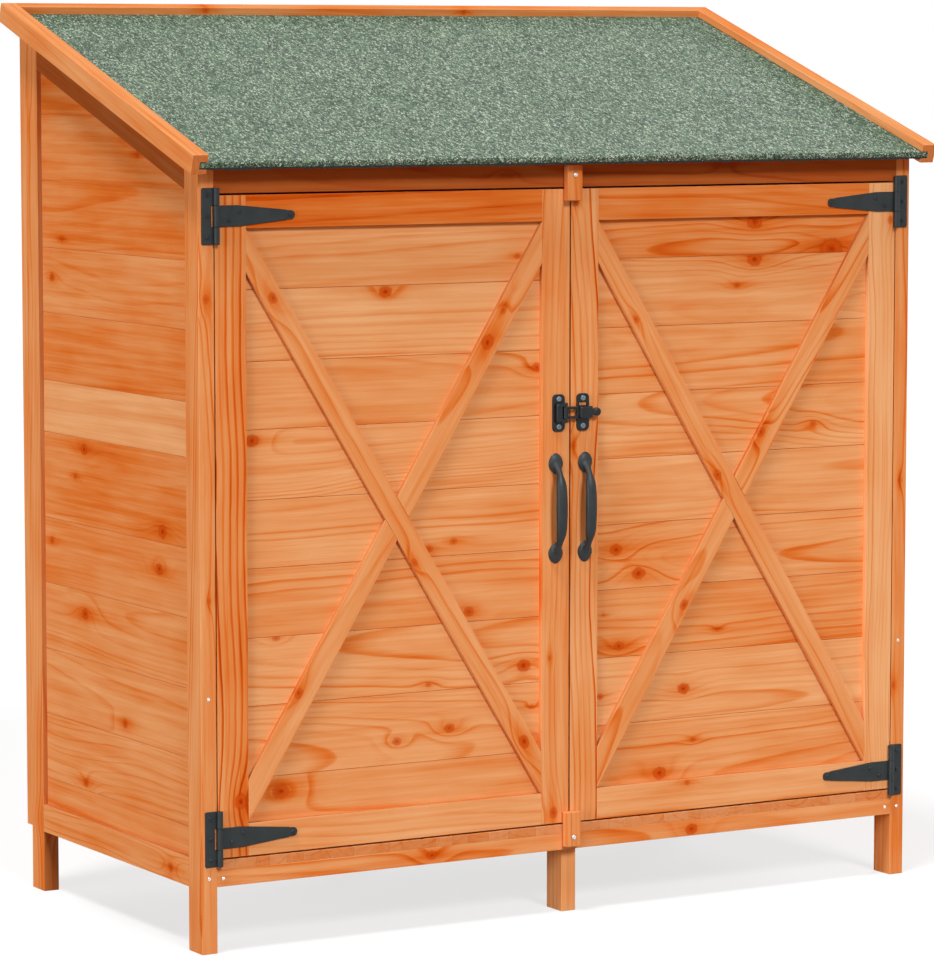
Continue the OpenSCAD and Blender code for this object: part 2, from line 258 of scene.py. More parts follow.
# How much a knot stands out, by the metre of its radius: small ones are fainter
FULL_KNOT = 72.0
LEAST_KNOT = 0.15
knot_rough = wander(130, 170, 37)
knot_core = knot_halo = knot_ring = 0.0
for knot_name in KNOT_NAMES:
    knot_along, knot_across, knot_radius = split(carried(fir_tree, knot_name))
    knot_x = (grain_along - knot_along) / knot_radius
    knot_y = (grain_across - knot_across) / knot_radius
    swell = fir_tree.math("EXPONENT", (knot_x * knot_x * 0.07 + knot_y * knot_y * 0.28) * -1)
    tail = fir_tree.math("EXPONENT", (knot_x * knot_x * 0.03 + knot_y * knot_y * 1.4) * -1)
    ring_distance = ring_distance + swell * knot_radius * 1.3
    reach = fir_tree.math("SQRT", knot_x * knot_x * 0.75 + knot_y * knot_y * 1.2) + knot_rough * 0.5
    plainness = fir_tree.math("MINIMUM", knot_radius * FULL_KNOT + LEAST_KNOT, 1.0)
    core = ramp(reach, [(0.0, 1.0), (0.62, 0.9), (1.0, 0.0)]) * plainness
    rim = ramp(reach, [(0.0, 0.95), (0.3, 0.45), (0.55, 0.15), (0.84, 0.75), (1.0, 0.2)])
    halo = swell * swell * 0.5 + tail * 0.4
    knot_core = fir_tree.math("MAXIMUM", core, knot_core)
    knot_halo = fir_tree.math("MAXIMUM", halo, knot_halo)
    knot_ring = fir_tree.math("MAXIMUM", rim, knot_ring)

# %% Figure, fibre and colour of the fir
ring_count = ring_distance / ring_gap
ring_share = fir_tree.math("FRACT", ring_count)
ring_index = fir_tree.math("FLOOR", ring_count)
late_wood = ramp(ring_share, [
    (0.0, 0.2), (0.08, 0.04), (0.58, 0.08), (0.88, 1.0), (0.95, 0.85), (1.0, 0.2),
])
ring_strength = fir_tree.node(
    "ShaderNodeTexWhiteNoise", {"noise_dimensions": "1D"}, {"W": ring_index + board_seed * 400})
fibre = wander(16, 520, 71, detail=3.0, roughness=0.6)
streak = wander(2.4, 64, 43)
fine_line = wander(3, 210, 61, detail=1.0)
stain = wander(5, 14, 19)

ring_line = late_wood * (ring_strength * ring_strength * 0.38 + 0.06) * line_strength
darkness = (ring_line + fibre * 0.22 + fine_line * 0.26 + streak * 0.55 + stain * 0.5 + knot_halo * 0.4
            + board_tone * 0.26 + 0.28)
wood_colour = ramp(darkness, [
    (0.0, rgb(238, 174, 121)), (0.3, rgb(229, 151, 93)), (0.6, rgb(222, 117, 47)),
    (0.85, rgb(210, 88, 20)), (1.0, rgb(186, 66, 8)),
])
knot_colour = mixed(knot_ring, rgb(222, 88, 18), rgb(158, 42, 6))
wood_colour = mixed(knot_core, wood_colour, knot_colour)
wood_colour = mixed(end_grain * 0.5, wood_colour, rgb(196, 100, 44))
# Bevelled edges turn paler: partly stain worn off, partly a painted highlight where the edges catch the
# light.
wood_colour = mixed(worn_and_highlit_edge * (stain + 0.5) * 0.3, wood_colour, rgb(240, 176, 120))
# Painted shade: chosen faces are darkened towards a shaded brown, standing in for shade in recesses and
# under the roof, and toning down tops that catch too much light.
wood_colour = mixed(painted_shade * 0.75, wood_colour, rgb(120, 64, 36))
fir_roughness = 0.58 + fibre * 0.18 - late_wood * 0.05 + end_grain * 0.2
fir_height = fibre * 0.7 + late_wood * 0.22 - knot_ring * 0.3
fir_bump = fir_tree.node(
    "ShaderNodeBump", sockets={"Strength": 0.35, "Distance": 0.0006, "Height": fir_height})
feed(fir_shader, Base_Color=wood_colour, Roughness=fir_roughness, Normal=fir_bump)
fir_shader.inputs["Specular IOR Level"].default_value = 0.0
print("stained fir:", len(fir.node_tree.nodes), "nodes")

# %% [markdown]
# ## Sawing boards
# A real board is a block with eased edges, sometimes cut off at an angle. Here it starts as a box, is
# cut by planes where the roof slopes or another timber is in the way, and then gets a small bevel.
# The bevel matters: it catches the light along every edge and draws the joints.

# %% Board maker
AXES = {"x": Vector((1, 0, 0)), "y": Vector((0, 1, 0)), "z": Vector((0, 0, 1))}
FAR_KNOT = (50.0, 50.0, 0.001)
KNOT_SWELL = 1.2
NO_TURN = Matrix.Identity(4)


def cut_off(shape, point, normal):
    """Takes away what lies on the normal's side of a plane."""
    everything = shape.verts[:] + shape.edges[:] + shape.faces[:]
    made = bmesh.ops.bisect_plane(
        shape, geom=everything, plane_co=point, plane_no=normal, clear_outer=True)
    edges = [item for item in made["geom_cut"] if isinstance(item, bmesh.types.BMEdge)]
    if edges:
        bmesh.ops.contextual_create(shape, geom=edges)


def plain_block(low, high):
    shape = bmesh.new()
    bmesh.ops.create_cube(shape, size=1.0)
    for vert in shape.verts:
        vert.co = Vector([start + (end - start) * (share + 0.5)
                          for start, end, share in zip(low, high, vert.co)])
    return shape


def board(low, high, along, face, place=NO_TURN, cuts=(), knots=(), tone=None, heart=None, eased=0.8,
          ledge=0.0, ledge_way=(0, 0, 1), lines=0.85, blank=None):
    """A board between two corners in millimetres, as lists for a mesh.

    along is the axis of its grain and face the side that is seen, such as -y. place puts the board's
    own frame into the shed, and cuts and knots are given in the shed's frame. ledge is how
    much painted shade darkens the faces that look along ledge_way, lines the strength of the
    rings, and blank a shape to start from in place of a plain block."""
    low = Vector(low)
    high = Vector(high)
    shape = blank or plain_block(low, high)
    back = place.inverted()
    for point, normal in cuts:
        cut_off(shape, back @ Vector(point), back.to_3x3() @ Vector(normal))
    bevel = bmesh.ops.bevel(
        shape, geom=shape.edges[:], offset=eased, segments=2, profile=0.5, affect="EDGES",
        clamp_overlap=True)
    shape.verts.index_update()
    shape.faces.index_update()
    shape.normal_update()
    bevelled = {item.index for item in bevel["faces"]}
    grain_axis = AXES[along]
    face_axis = AXES[face[1]] * (-1 if face[0] == "-" else 1)
    across_axis = face_axis.cross(grain_axis)
    middle = (low + high) / 2
    face_level = max(low.dot(face_axis), high.dot(face_axis))

    def in_board(spot):
        away = spot - middle
        return (away.dot(grain_axis), away.dot(across_axis), face_level - spot.dot(face_axis))

    half_width = abs((high - low).dot(across_axis)) / 2
    if heart is None:
        heart = (chance.uniform(-1.2, 1.2) * max(half_width, 30), chance.uniform(12, 75))
    look = (chance.random(), chance.uniform(-0.6, 0.6) if tone is None else tone,
            chance.uniform(-0.06, 0.06))
    set_knots = []
    for x, y, z, radius in list(knots)[:len(KNOT_NAMES)]:
        knot_at = in_board(back @ Vector((x, y, z)))
        set_knots.append((knot_at[0] * MM, knot_at[1] * MM, radius * KNOT_SWELL * MM))
    while len(set_knots) < len(KNOT_NAMES):
        set_knots.append(FAR_KNOT)
    made = {
        "verts": [place @ vert.co for vert in shape.verts],
        "faces": [[vert.index for vert in item.verts] for item in shape.faces],
        "grain": [Vector(in_board(vert.co)) * MM for vert in shape.verts],
        # Per face: end grain, a bevelled edge with wear and a painted highlight, and the amount of painted
        # shade.
        "cut": [(1.0 if abs(item.normal.dot(grain_axis)) > 0.7 else 0.0,
                 1.0 if item.index in bevelled else 0.0,
                 ledge if (place.to_3x3() @ item.normal).dot(Vector(ledge_way)) > 0.8 else 0.0)
                for item in shape.faces],
        "look": look,
        "figure": (lines, 0.0, 0.0),
        "heart": (heart[0] * MM, heart[1] * MM, chance.uniform(6.5, 12.5) * MM),
        "knots": set_knots,
    }
    shape.free()
    return made


# %% From boards to a piece
def wear(piece, material, node):
    """Gives a new piece its finish, hides the CAD node that it replaces, if any, and hangs the piece on the
    body it rides on.
    """
    piece.data.materials.append(material)
    bpy.context.scene.collection.objects.link(piece)
    if node:
        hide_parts(node)
    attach(piece, frame["nodes"][node]["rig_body"] if node else "shed")
    return piece


def even_shading(piece):
    """Flat faces stay flat and the bevels between them shade round."""
    for polygon in piece.data.polygons:
        polygon.use_smooth = True
    shading = piece.modifiers.new("even_shading", "WEIGHTED_NORMAL")
    shading.keep_sharp = True


def write_faces(mesh, name, rows):
    layer = mesh.attributes.new(name, "FLOAT_VECTOR", "FACE")
    layer.data.foreach_set("vector", [number for row in rows for number in row])


def timber(node, boards):
    """One fir piece out of boards, in the place of a CAD node."""
    verts, faces, grain = [], [], []
    rows = {name: [] for name in ("look", "figure", "heart", "cut", *KNOT_NAMES)}
    for item in boards:
        start = len(verts)
        verts += [spot * MM for spot in item["verts"]]
        faces += [[start + index for index in ring] for ring in item["faces"]]
        grain += item["grain"]
        count = len(item["faces"])
        for name in ("look", "figure", "heart"):
            rows[name] += [item[name]] * count
        rows["cut"] += item["cut"]
        for name, knot in zip(KNOT_NAMES, item["knots"]):
            rows[name] += [knot] * count
    mesh = bpy.data.meshes.new(node + "_fir")
    mesh.from_pydata(verts, [], faces)
    layer = mesh.attributes.new("grain", "FLOAT_VECTOR", "POINT")
    layer.data.foreach_set("vector", [number for spot in grain for number in spot])
    for name, values in rows.items():
        write_faces(mesh, name, values)
    piece = bpy.data.objects.new(node + "_fir", mesh)
    even_shading(piece)
    return wear(piece, fir, node)


def whole(node, along, face, **options):
    """One board that fills the box of a CAD node."""
    return timber(node, [board(*corners_mm(node), along, face, **options)])


# %% [markdown]
# ## Posts, legs and rails
# The skeleton is planed stock of one size. The posts run from the ground to the roof, where they are
# cut to its slope, so each is one board with one cut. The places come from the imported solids.

# %% Roof planes and the skeleton
ROOF_SLOPE = math.radians(18.4)
DECK_Z = 1244.0
ROOF_SEAT = 0.1
SIDE_RAIL_H = 56.0
STOCK_D = 47.0
SIDES = (("left", "-x", -1), ("right", "+x", 1))

post_low = corners_mm("front_left_post")[0]
FRONT_Y = post_low.y
BACK_Y = corners_mm("back_left_post")[1].y
on_roof = Matrix.Translation((0, FRONT_Y, DECK_Z)) @ Matrix.Rotation(ROOF_SLOPE, 4, "X")
roof_up = on_roof.to_3x3() @ Vector((0, 0, 1))
under_deck = (on_roof @ Vector((0, 0, -ROOF_SEAT)), roof_up)
under_side_rail = (on_roof @ Vector((0, 0, -ROOF_SEAT - SIDE_RAIL_H)), roof_up)


def stray_knots(low, high, face_y, count, small=4, large=9):
    """A few knots at chance places on a face that looks to the front or the back."""
    return [(chance.uniform(low.x, high.x), face_y, chance.uniform(low.z, high.z),
             chance.uniform(small, large)) for _ in range(count)]


POST_KNOTS = {
    "front_left_post": [(-662, FRONT_Y, 1031, 6), (-660, FRONT_Y, 560, 4)],
    "front_right_post": [(661, FRONT_Y, 683, 5), (652, FRONT_Y, 330, 5)],
}
# The back posts get painted shade on their faces that look to the front, the strip in the corner by the
# side walls.
for post in ("front_left_post", "front_right_post", "back_left_post", "back_right_post"):
    low, high = corners_mm(post)
    knots = POST_KNOTS.get(post) or stray_knots(low, high, high.y, 2)
    whole(post, "z", "-y" if "front" in post else "+y", cuts=[under_deck], knots=knots,
          tone=0.45 if post == "front_right_post" else 0.2, heart=(55, 40),
          ledge=0.0 if "front" in post else 0.65, ledge_way=(0, -1, 0))

low, high = corners_mm("middle_legs")
timber("middle_legs", [
    board(low, (high.x, low.y + STOCK_D, high.z), "z", "-y"),
    board((low.x, high.y - STOCK_D, low.z), high, "z", "+y"),
])
RAIL_KNOTS = [(-260, FRONT_Y, 120, 8), (240, FRONT_Y, 117, 10)]
whole("front_bottom_rail", "x", "-y", knots=RAIL_KNOTS, tone=0.2, eased=0.5)
low, high = corners_mm("back_bottom_rail")
whole("back_bottom_rail", "x", "+y", knots=stray_knots(low, high, high.y, 2))
# The tops of the side bottom rails get painted shade, so that they catch less light.
for side, face, way in SIDES:
    low, high = corners_mm(side + "_bottom_rail")
    edge = low.x if way < 0 else high.x
    whole(side + "_bottom_rail", "y", face, knots=[(edge, FRONT_Y + 111, 122, 8)], tone=0.1, ledge=0.75)
print("roof slope:", round(math.degrees(ROOF_SLOPE), 1), "front plane:", round(FRONT_Y, 1))

# %% Rails under the roof
FASCIA_KNOTS = [(-120, FRONT_Y, 1216, 6), (300, FRONT_Y, 1228, 7)]
SLOPE_LENGTH = 720.0
# A dark tone and painted shade on the fascia's front stand for the shade under the felt's edge.
whole("fascia", "x", "-y", cuts=[under_deck], knots=FASCIA_KNOTS, tone=1.5, eased=0.5, ledge=0.75,
      ledge_way=(0, -1, 0))
whole("back_top_rail", "x", "+y", cuts=[under_deck])
# A dark tone and painted shade on the outer faces of the sloped rails stand for the shade under the rakes.
for side, face, way in SIDES:
    low, high = corners_mm(side + "_top_rail")
    ends = [((0, low.y, 0), (0, -1, 0)), ((0, high.y, 0), (0, 1, 0))]
    timber(side + "_top_rail", [
        board((low.x, 0, -ROOF_SEAT - SIDE_RAIL_H), (high.x, SLOPE_LENGTH, -ROOF_SEAT), "y", face,
              place=on_roof, cuts=ends, tone=1.2, ledge=0.85, ledge_way=(way, 0, 0))])
print("rails under the roof: 4")

# %% [markdown]
# ## Board walls and the floor
# The walls are tongued boards laid on each other, about 109 mm to the weather, with one narrow pale
# board on the left. A dark hairline shows at each joint. A line painted into the colour would vanish
# in close views, so the boards stand a hair apart and a tongue closes the gap behind them.

# %% Walls
JOINT_GAP = 0.8
TONGUE_H = 8.0
TONGUE_SETBACK = 1.6
LEAST_BOARD_H = 5.0
WALL_KNOT_R = (4, 11)
RIGHT_WALL_KNOT_COUNT = 12
LEFT_WALL_JOINTS = (195.5, 304.5, 415, 527, 637, 781, 868, 981, 1089, 1200, 1309)
RIGHT_WALL_JOINTS = (206, 315, 424, 533, 642, 751, 860, 969, 1078, 1187, 1296)
BACK_WALL_JOINTS = (215, 324, 433, 542, 651, 760, 869, 978, 1087, 1196, 1305, 1414)
LEFT_WALL_TONES = (0.35, 0.15, 0.1, 0.2, 0.55, 0.75, -0.6, 0.75, 0.35, 0.75, 0.6, 0.8)
LEFT_WALL_KNOTS = [
    (559, 1041, 8), (519, 1105, 5), (439, 763, 10), (474, 715, 5), (148, 655, 12), (569, 600, 7),
    (161, 594, 10), (441, 490, 10), (291, 328, 8), (443, 208, 8), (230, 1250, 6),
]


def tongued(low, high, along, face, joints, knots=(), tones=(), cuts=(), lines=0.45):
    """Boards on each other between two heights, with tongues behind the joints."""
    inner = [z for z in joints if low.z + LEAST_BOARD_H < z < high.z - LEAST_BOARD_H]
    levels = [low.z, *inner, high.z]
    depth_axis = "xyz".index(face[1])
    made = []
    for number, (bottom, top) in enumerate(zip(levels, levels[1:])):
        first = Vector((low.x, low.y, bottom + (JOINT_GAP / 2 if number else 0)))
        last = Vector((high.x, high.y, top - JOINT_GAP / 2))
        own = [knot for knot in knots if bottom <= knot[2] < top]
        tone = tones[number] if number < len(tones) else None
        made.append(board(first, last, along, face, cuts=cuts, knots=own, tone=tone, eased=0.5,
                          lines=lines))
        if number:
            back = Vector((low.x, low.y, bottom - TONGUE_H / 2))
            front = Vector((high.x, high.y, bottom + TONGUE_H / 2))
            back[depth_axis] += TONGUE_SETBACK
            front[depth_axis] -= TONGUE_SETBACK
            made.append(board(back, front, along, face, cuts=cuts, tone=0.5, eased=0.2))
    return made


for (side, face, way), joints in zip(SIDES, (LEFT_WALL_JOINTS, RIGHT_WALL_JOINTS)):
    low, high = corners_mm(side + "_wall")
    if side == "left":
        knots = [(low.x, FRONT_Y + depth, z, radius) for depth, z, radius in LEFT_WALL_KNOTS]
        tones = LEFT_WALL_TONES
    else:
        knots = [(high.x, chance.uniform(low.y, high.y), chance.uniform(low.z, high.z),
                  chance.uniform(*WALL_KNOT_R)) for _ in range(RIGHT_WALL_KNOT_COUNT)]
        tones = ()
    timber(side + "_wall", tongued(low, high, "y", face, joints, knots, tones, [under_side_rail]))
print("wall boards:", len(LEFT_WALL_JOINTS) + 1, "left,", len(RIGHT_WALL_JOINTS) + 1, "right")

# %% Back wall and floor
BACK_EDGE_W = 30.0
BACK_BOARD_T = 14.0
BACK_KNOT_COUNT = 26
low, high = corners_mm("back_wall")
inner_low = Vector((low.x + BACK_EDGE_W, low.y, low.z))
inner_high = Vector((high.x - BACK_EDGE_W, low.y + BACK_BOARD_T, high.z))
back_knots = stray_knots(inner_low, inner_high, inner_high.y, BACK_KNOT_COUNT, *WALL_KNOT_R)
back_boards = tongued(inner_low, inner_high, "x", "+y", BACK_WALL_JOINTS, back_knots,
                      cuts=[under_deck])
for x in (low.x, high.x - BACK_EDGE_W):
    back_boards.append(board((x, low.y, low.z), (x + BACK_EDGE_W, high.y, high.z), "z", "+y",
                             cuts=[under_deck], tone=0.1))
timber("back_wall", back_boards)

STRIP_W = (16, 54)
LEAST_STRIP_W = 14.0
STRIP_GAP = 0.3
STRIP_TONES = (-1.25, 0.15)
low, high = corners_mm("floor")
floor_boards = []
x = low.x
while x < high.x - 1:
    width = min(chance.uniform(*STRIP_W), high.x - x)
    if high.x - x - width < LEAST_STRIP_W:
        width = high.x - x
    floor_boards.append(board((x, low.y, low.z), (x + width - STRIP_GAP, high.y, high.z), "y", "+z",
                              tone=chance.uniform(*STRIP_TONES), eased=0.5))
    x += width
timber("floor", floor_boards)
print("back boards:", len(back_boards), "floor boards:", len(floor_boards))

# %% [markdown]
# ## Doors
# Each door is a frame of two stiles and two rails round a board panel, with a cross of braces over it.
# One brace runs through and the other is two halves that butt against it. A brace is a straight board
# in its own turned frame, cut upright at both stiles, so that its ends stand in the corners. The solids
# leave 5 mm round a door; the drawn edges stand a little further out, so that the gap reads as a line.

# %% Door values
PANEL_SETBACK = 8.0
STILE_W = 51.0
DOOR_RAIL_H = 50.0
BRACE_W = 36.0
BRACE_GAP = 0.2
EDGE_FIT = 1.9
HINGE_FIT = 2.9
MEETING_FIT = 0.9
LEFT_JOINTS = (273, 387, 495, 605, 713, 824, 931, 1044)
RIGHT_JOINTS = (305, 417, 530, 638, 747, 854, 963, 1076)
LEFT_TONES = (-0.05, -0.2, -0.35, 0.1, -0.15, -0.3, 0.05, -0.5, -0.1)
RIGHT_TONES = (-0.05, -0.55, 0.25, 0.05, -0.35, -0.2, 0.0, -0.1, 0.45)
LEFT_STILE_TONES = (0.4, 0.15)
RIGHT_STILE_TONES = (-0.1, -0.8)
LEFT_TOP_TONE = 1.3
RIGHT_TOP_TONE = 0.9
BOTTOM_TONE = -0.35
STILE_HEARTS = ((170, 30), (-90, 25))
STILE_LINES = (2.2, 1.2)
LEFT_KNOTS = [
    (-96, 1085, 5), (-340, 1034, 10), (-59, 903, 8), (-579, 807, 10), (-260, 618, 6), (-215, 628, 6),
    (-186, 512, 8), (-538, 493, 6), (-83, 416, 11), (-262, 398, 5), (-68, 347, 4), (-320, 310, 7),
    (-223, 324, 8), (-531, 247, 13),
]
RIGHT_KNOTS = [
    (365, 1068, 12), (330, 1026, 6), (520, 1082, 19), (365, 1131, 13), (486, 788, 6), (94, 596, 10),
    (138, 554, 11), (70, 489, 3), (295, 450, 4), (100, 435, 8), (228, 355, 10), (64, 353, 6),
    (247, 267, 5), (181, 216, 11),
]
LEFT_FRAME_KNOTS = [(-606, 239, 11), (-30, 169, 8), (-38, 426, 4)]
RIGHT_FRAME_KNOTS = [(636, 1129, 6), (13, 1175, 5), (6, 773, 6), (231, 197, 5)]
LEFT_BRACE_KNOTS = [(-545, 1030, 8), (-127, 999, 6), (-156, 948, 11), (-502, 403, 8), (-87, 292, 10),
                    (-292, 598, 6)]
RIGHT_BRACE_KNOTS = [(127, 976, 6), (288, 711, 8), (375, 779, 8), (223, 497, 8)]


# %% Door maker
def on_front(knots, y=FRONT_Y):
    """Knots on a face that looks to the front."""
    return [(x, y, z, radius) for x, z, radius in knots]


def knots_between(knots, low, high):
    """The knots that lie on a board."""
    return [knot for knot in knots if low[0] < knot[0] < high[0] and low[2] < knot[2] < high[2]]


def brace_tilt(low, high):
    """Tilt of a brace whose upright ends stand in two corners of an opening."""
    opening = high - low
    diagonal = math.hypot(opening.x, opening.z)
    return math.acos(BRACE_W / diagonal) - math.atan2(opening.x, opening.z)


def brace(low, high, slant, knots, extra_cuts=()):
    """A diagonal board across an opening; slant is 1 where it rises to the right."""
    middle = (low + high) / 2
    turn = Matrix.Rotation(-brace_tilt(low, high) * slant, 4, "Y")
    place = Matrix.Translation((middle.x, 0, middle.z)) @ turn
    reach = (high - low).length / 2 + BRACE_W
    ends = [(low, (-1, 0, 0)), (high, (1, 0, 0))]
    # A rising brace gets painted shade on its upper edge, so that the edge catches less light.
    return board((-reach, FRONT_Y, -BRACE_W / 2), (reach, FRONT_Y + PANEL_SETBACK, BRACE_W / 2),
                 "x", "-y", place=place, cuts=[*ends, *extra_cuts], knots=knots, tone=0.05,
                 ledge=0.6 if slant > 0 else 0.0, ledge_way=turn.to_3x3() @ Vector((0, 0, 1)))


def beside_brace(low, high, slant, above):
    """The plane along an edge of a brace, for the halves that butt against it."""
    tilt = brace_tilt(low, high) * slant
    square = Vector((-math.sin(tilt), 0, math.cos(tilt)))
    middle = (low + high) / 2
    sign = 1 if above else -1
    return (middle + square * sign * (BRACE_W / 2 + BRACE_GAP), -square * sign)


def door(side, joints, tones, stile_tones, top_tone, knots, frame_knots, brace_knots):
    """The timber of one door; tones go from the bottom up and from left to right."""
    name = side + "_door_"
    low, high = corners_mm(name + "stiles")
    frame_set = on_front(frame_knots)
    stiles = []
    for way, heart, lines, tone in zip((-1, 1), STILE_HEARTS, STILE_LINES, stile_tones):
        fit = HINGE_FIT if (way < 0) == (side == "left") else MEETING_FIT
        edges = (low.x - fit, low.x + STILE_W) if way < 0 else (high.x - STILE_W, high.x + fit)
        first = Vector((edges[0], low.y, low.z - EDGE_FIT))
        last = Vector((edges[1], high.y, high.z + EDGE_FIT))
        stiles.append(board(first, last, "z", "-y", knots=knots_between(frame_set, first, last),
                            heart=heart, tone=tone, eased=0.5, lines=lines))
    timber(name + "stiles", stiles)
    low, high = corners_mm(name + "rails")
    rails = []
    bottom = (low.z - EDGE_FIT, low.z + DOOR_RAIL_H)
    top = (high.z - DOOR_RAIL_H, high.z + EDGE_FIT)
    # The top of the bottom rail gets painted shade, so that it catches less light.
    for levels, tone, ledge in ((bottom, BOTTOM_TONE, 0.65), (top, top_tone, 0.0)):
        first = Vector((low.x, low.y, levels[0]))
        last = Vector((high.x, high.y, levels[1]))
        rails.append(board(first, last, "x", "-y", knots=knots_between(frame_set, first, last),
                           heart=(45, 40), tone=tone, eased=0.5, ledge=ledge))
    timber(name + "rails", rails)
    low, high = corners_mm(name + "panel")
    timber(name + "panel", tongued(low, high, "x", "-y", joints, on_front(knots, low.y), tones,
                                   lines=0.9))
    middle = (low + high) / 2
    brace_set = on_front(brace_knots)
    fall = [knot for knot in brace_set if (knot[0] - middle.x) * (knot[2] - middle.z) < 0]
    rise = [knot for knot in brace_set if knot not in fall]
    timber(name + "long_brace", [brace(low, high, -1, fall)])
    halves = [brace(low, high, 1, rise, [beside_brace(low, high, -1, above)])
              for above in (True, False)]
    timber(name + "short_braces", halves)
    print(side, "door boards:", len(joints) + 1)


door("left", LEFT_JOINTS, LEFT_TONES, LEFT_STILE_TONES, LEFT_TOP_TONE,
     LEFT_KNOTS, LEFT_FRAME_KNOTS, LEFT_BRACE_KNOTS)
door("right", RIGHT_JOINTS, RIGHT_TONES, RIGHT_STILE_TONES, RIGHT_TOP_TONE,
     RIGHT_KNOTS, RIGHT_FRAME_KNOTS, RIGHT_BRACE_KNOTS)

# %% Turn buttons
# The top button's darker tone is painted shade for the shade under the eaves.
for button, tone in (("top_button", 0.6), ("bottom_button", 0.1)):
    whole(button, "z", "-y", tone=tone, heart=(40, 30), eased=1.2)
print("turn buttons: 2")

# %% [markdown]
# ## Roof timber
# Thin boards carry the felt, two rake boards close the sides and a trim closes the back. They are
# straight boards in the roof's own turned frame, where the slope is the Y axis. A groove in each rake
# takes the edge of the deck and the felt, and shows as a notch at its front end.

# %% Deck, rakes and trim
DECK_T = 9.0
FELT_T = 2.5
RAKE_DROP = 8.0
RAKE_TOP = 24.0
RAKE_W = 27.0
ROOF_FRONT = -34.0
BACK_T = 20.0
BACK_OVERHANG = 22.0
ROOF_BACK = (BACK_Y - FRONT_Y + BACK_T) / math.cos(ROOF_SLOPE) + BACK_OVERHANG
TRIM_T = 21.0
DECK_BACK = ROOF_BACK - TRIM_T
TRIM_KNOTS = ((-330, 690, 20, 6), (180, 690, 18, 5))
DECK_BOARD_W = 104.0
RAKE_GROOVE = 13.0
POST_OUTER = abs(post_low.x)
DECK_HALF = POST_OUTER + RAKE_GROOVE


def grooved_block(low, high, floor_x, open_x, stop_y, bottom_z, top_z):
    """A block along Y with a groove in one side, from its front end to a stop."""
    shape = bmesh.new()
    far_x = low[0] if open_x > floor_x else high[0]
    front = [(far_x, low[2]), (open_x, low[2]), (open_x, bottom_z), (floor_x, bottom_z),
             (floor_x, top_z), (open_x, top_z), (open_x, high[2]), (far_x, high[2])]
    ring = [shape.verts.new((x, low[1], z)) for x, z in front]
    stop = [shape.verts.new((x, stop_y, z)) for x, z in front[2:6]]
    back = [shape.verts.new((x, high[1], z)) for x, z in (front[0], front[1], front[6], front[7])]
    shape.faces.new(ring)
    shape.faces.new(back)
    shape.faces.new(stop)
    shape.faces.new([ring[0], ring[1], back[1], back[0]])
    shape.faces.new([ring[7], ring[6], back[2], back[3]])
    shape.faces.new([ring[0], ring[7], back[3], back[0]])
    shape.faces.new([ring[1], back[1], back[2], ring[6], ring[5], stop[3], stop[0], ring[2]])
    for first in (2, 3, 4):
        shape.faces.new([ring[first], ring[first + 1], stop[first - 1], stop[first - 2]])
    bmesh.ops.recalc_face_normals(shape, faces=shape.faces[:])
    return shape


deck_boards = []
u = ROOF_FRONT + FELT_T
while u < DECK_BACK - 1:
    edge = min(u + DECK_BOARD_W, DECK_BACK)
    deck_boards.append(board((-DECK_HALF, u, 0), (DECK_HALF, edge, DECK_T), "x", "-z", place=on_roof,
                             eased=0.6))
    u = edge
timber("roof_deck", deck_boards)
for side, face, way in SIDES:
    inside = way * (POST_OUTER + ROOF_SEAT)
    outside = inside + way * RAKE_W
    rake_low = (min(inside, outside), ROOF_FRONT, -RAKE_DROP)
    rake_high = (max(inside, outside), ROOF_BACK, RAKE_TOP)
    grooved = grooved_block(rake_low, rake_high, inside + way * RAKE_GROOVE, inside,
                            DECK_BACK + ROOF_SEAT, -ROOF_SEAT, DECK_T + FELT_T + ROOF_SEAT)
    # The rakes' top faces get painted shade, so that they catch less light.
    timber(side + "_rake", [board(rake_low, rake_high, "y", face, place=on_roof, tone=0.1,
                                  heart=(30, 45), ledge=0.4, lines=0.4, blank=grooved)])
trim_knots = [(*(on_roof @ Vector(knot[:3])), knot[3]) for knot in TRIM_KNOTS]
# The trim's top face gets painted shade too.
timber("roof_back_trim", [board((-POST_OUTER, DECK_BACK, 0), (POST_OUTER, ROOF_BACK, RAKE_TOP), "x", "-y",
                                place=on_roof, ledge=0.4, knots=trim_knots)])
print("deck boards:", len(deck_boards))

# %% [markdown]
# ## Roofing felt
# Felt is a bitumen sheet rolled full of crushed slate. From a few metres the granules read as a green
# speckle with pale and dark grains. The colour comes from small cells, each with its own shade, and
# loose granules are real chips on the surface: they break the straight line of the turned-down edge.

# %% Granule finish
felt, felt_tree, felt_shader = new_finish("granule_felt")
felt_spot = felt_tree.node("ShaderNodeTexCoord", out="Object")
felt_place = felt_tree.node("ShaderNodeMapping", {"vector_type": "TEXTURE"}, {
    "Vector": felt_spot, "Rotation": (ROOF_SLOPE, 0.0, 0.0), "Scale": (1.0, 2.2, 1.0)})
chip_speck, under_lip = split(carried(felt_tree, "granule"))[:2]
cell_node = felt_tree.node(
    "ShaderNodeTexVoronoi", {"feature": "F1"}, {"Vector": felt_place, "Scale": 370.0}, out="Color")
cell_distance = cell_node.sibling("Distance")
cell_shade, cell_hue, cell_bright = split(cell_node)
grit_node = felt_tree.node(
    "ShaderNodeTexVoronoi", {"feature": "F1"}, {"Vector": felt_place, "Scale": 760.0}, out="Color")
grit_shade, grit_bright = split(grit_node)[:2]
patch = noise(felt_place, scale=24.0, detail=4.0, roughness=0.6) - 0.5
granule_shade = cell_shade * 0.7 + grit_shade * 0.26 + patch * 0.6 + chip_speck * 0.35
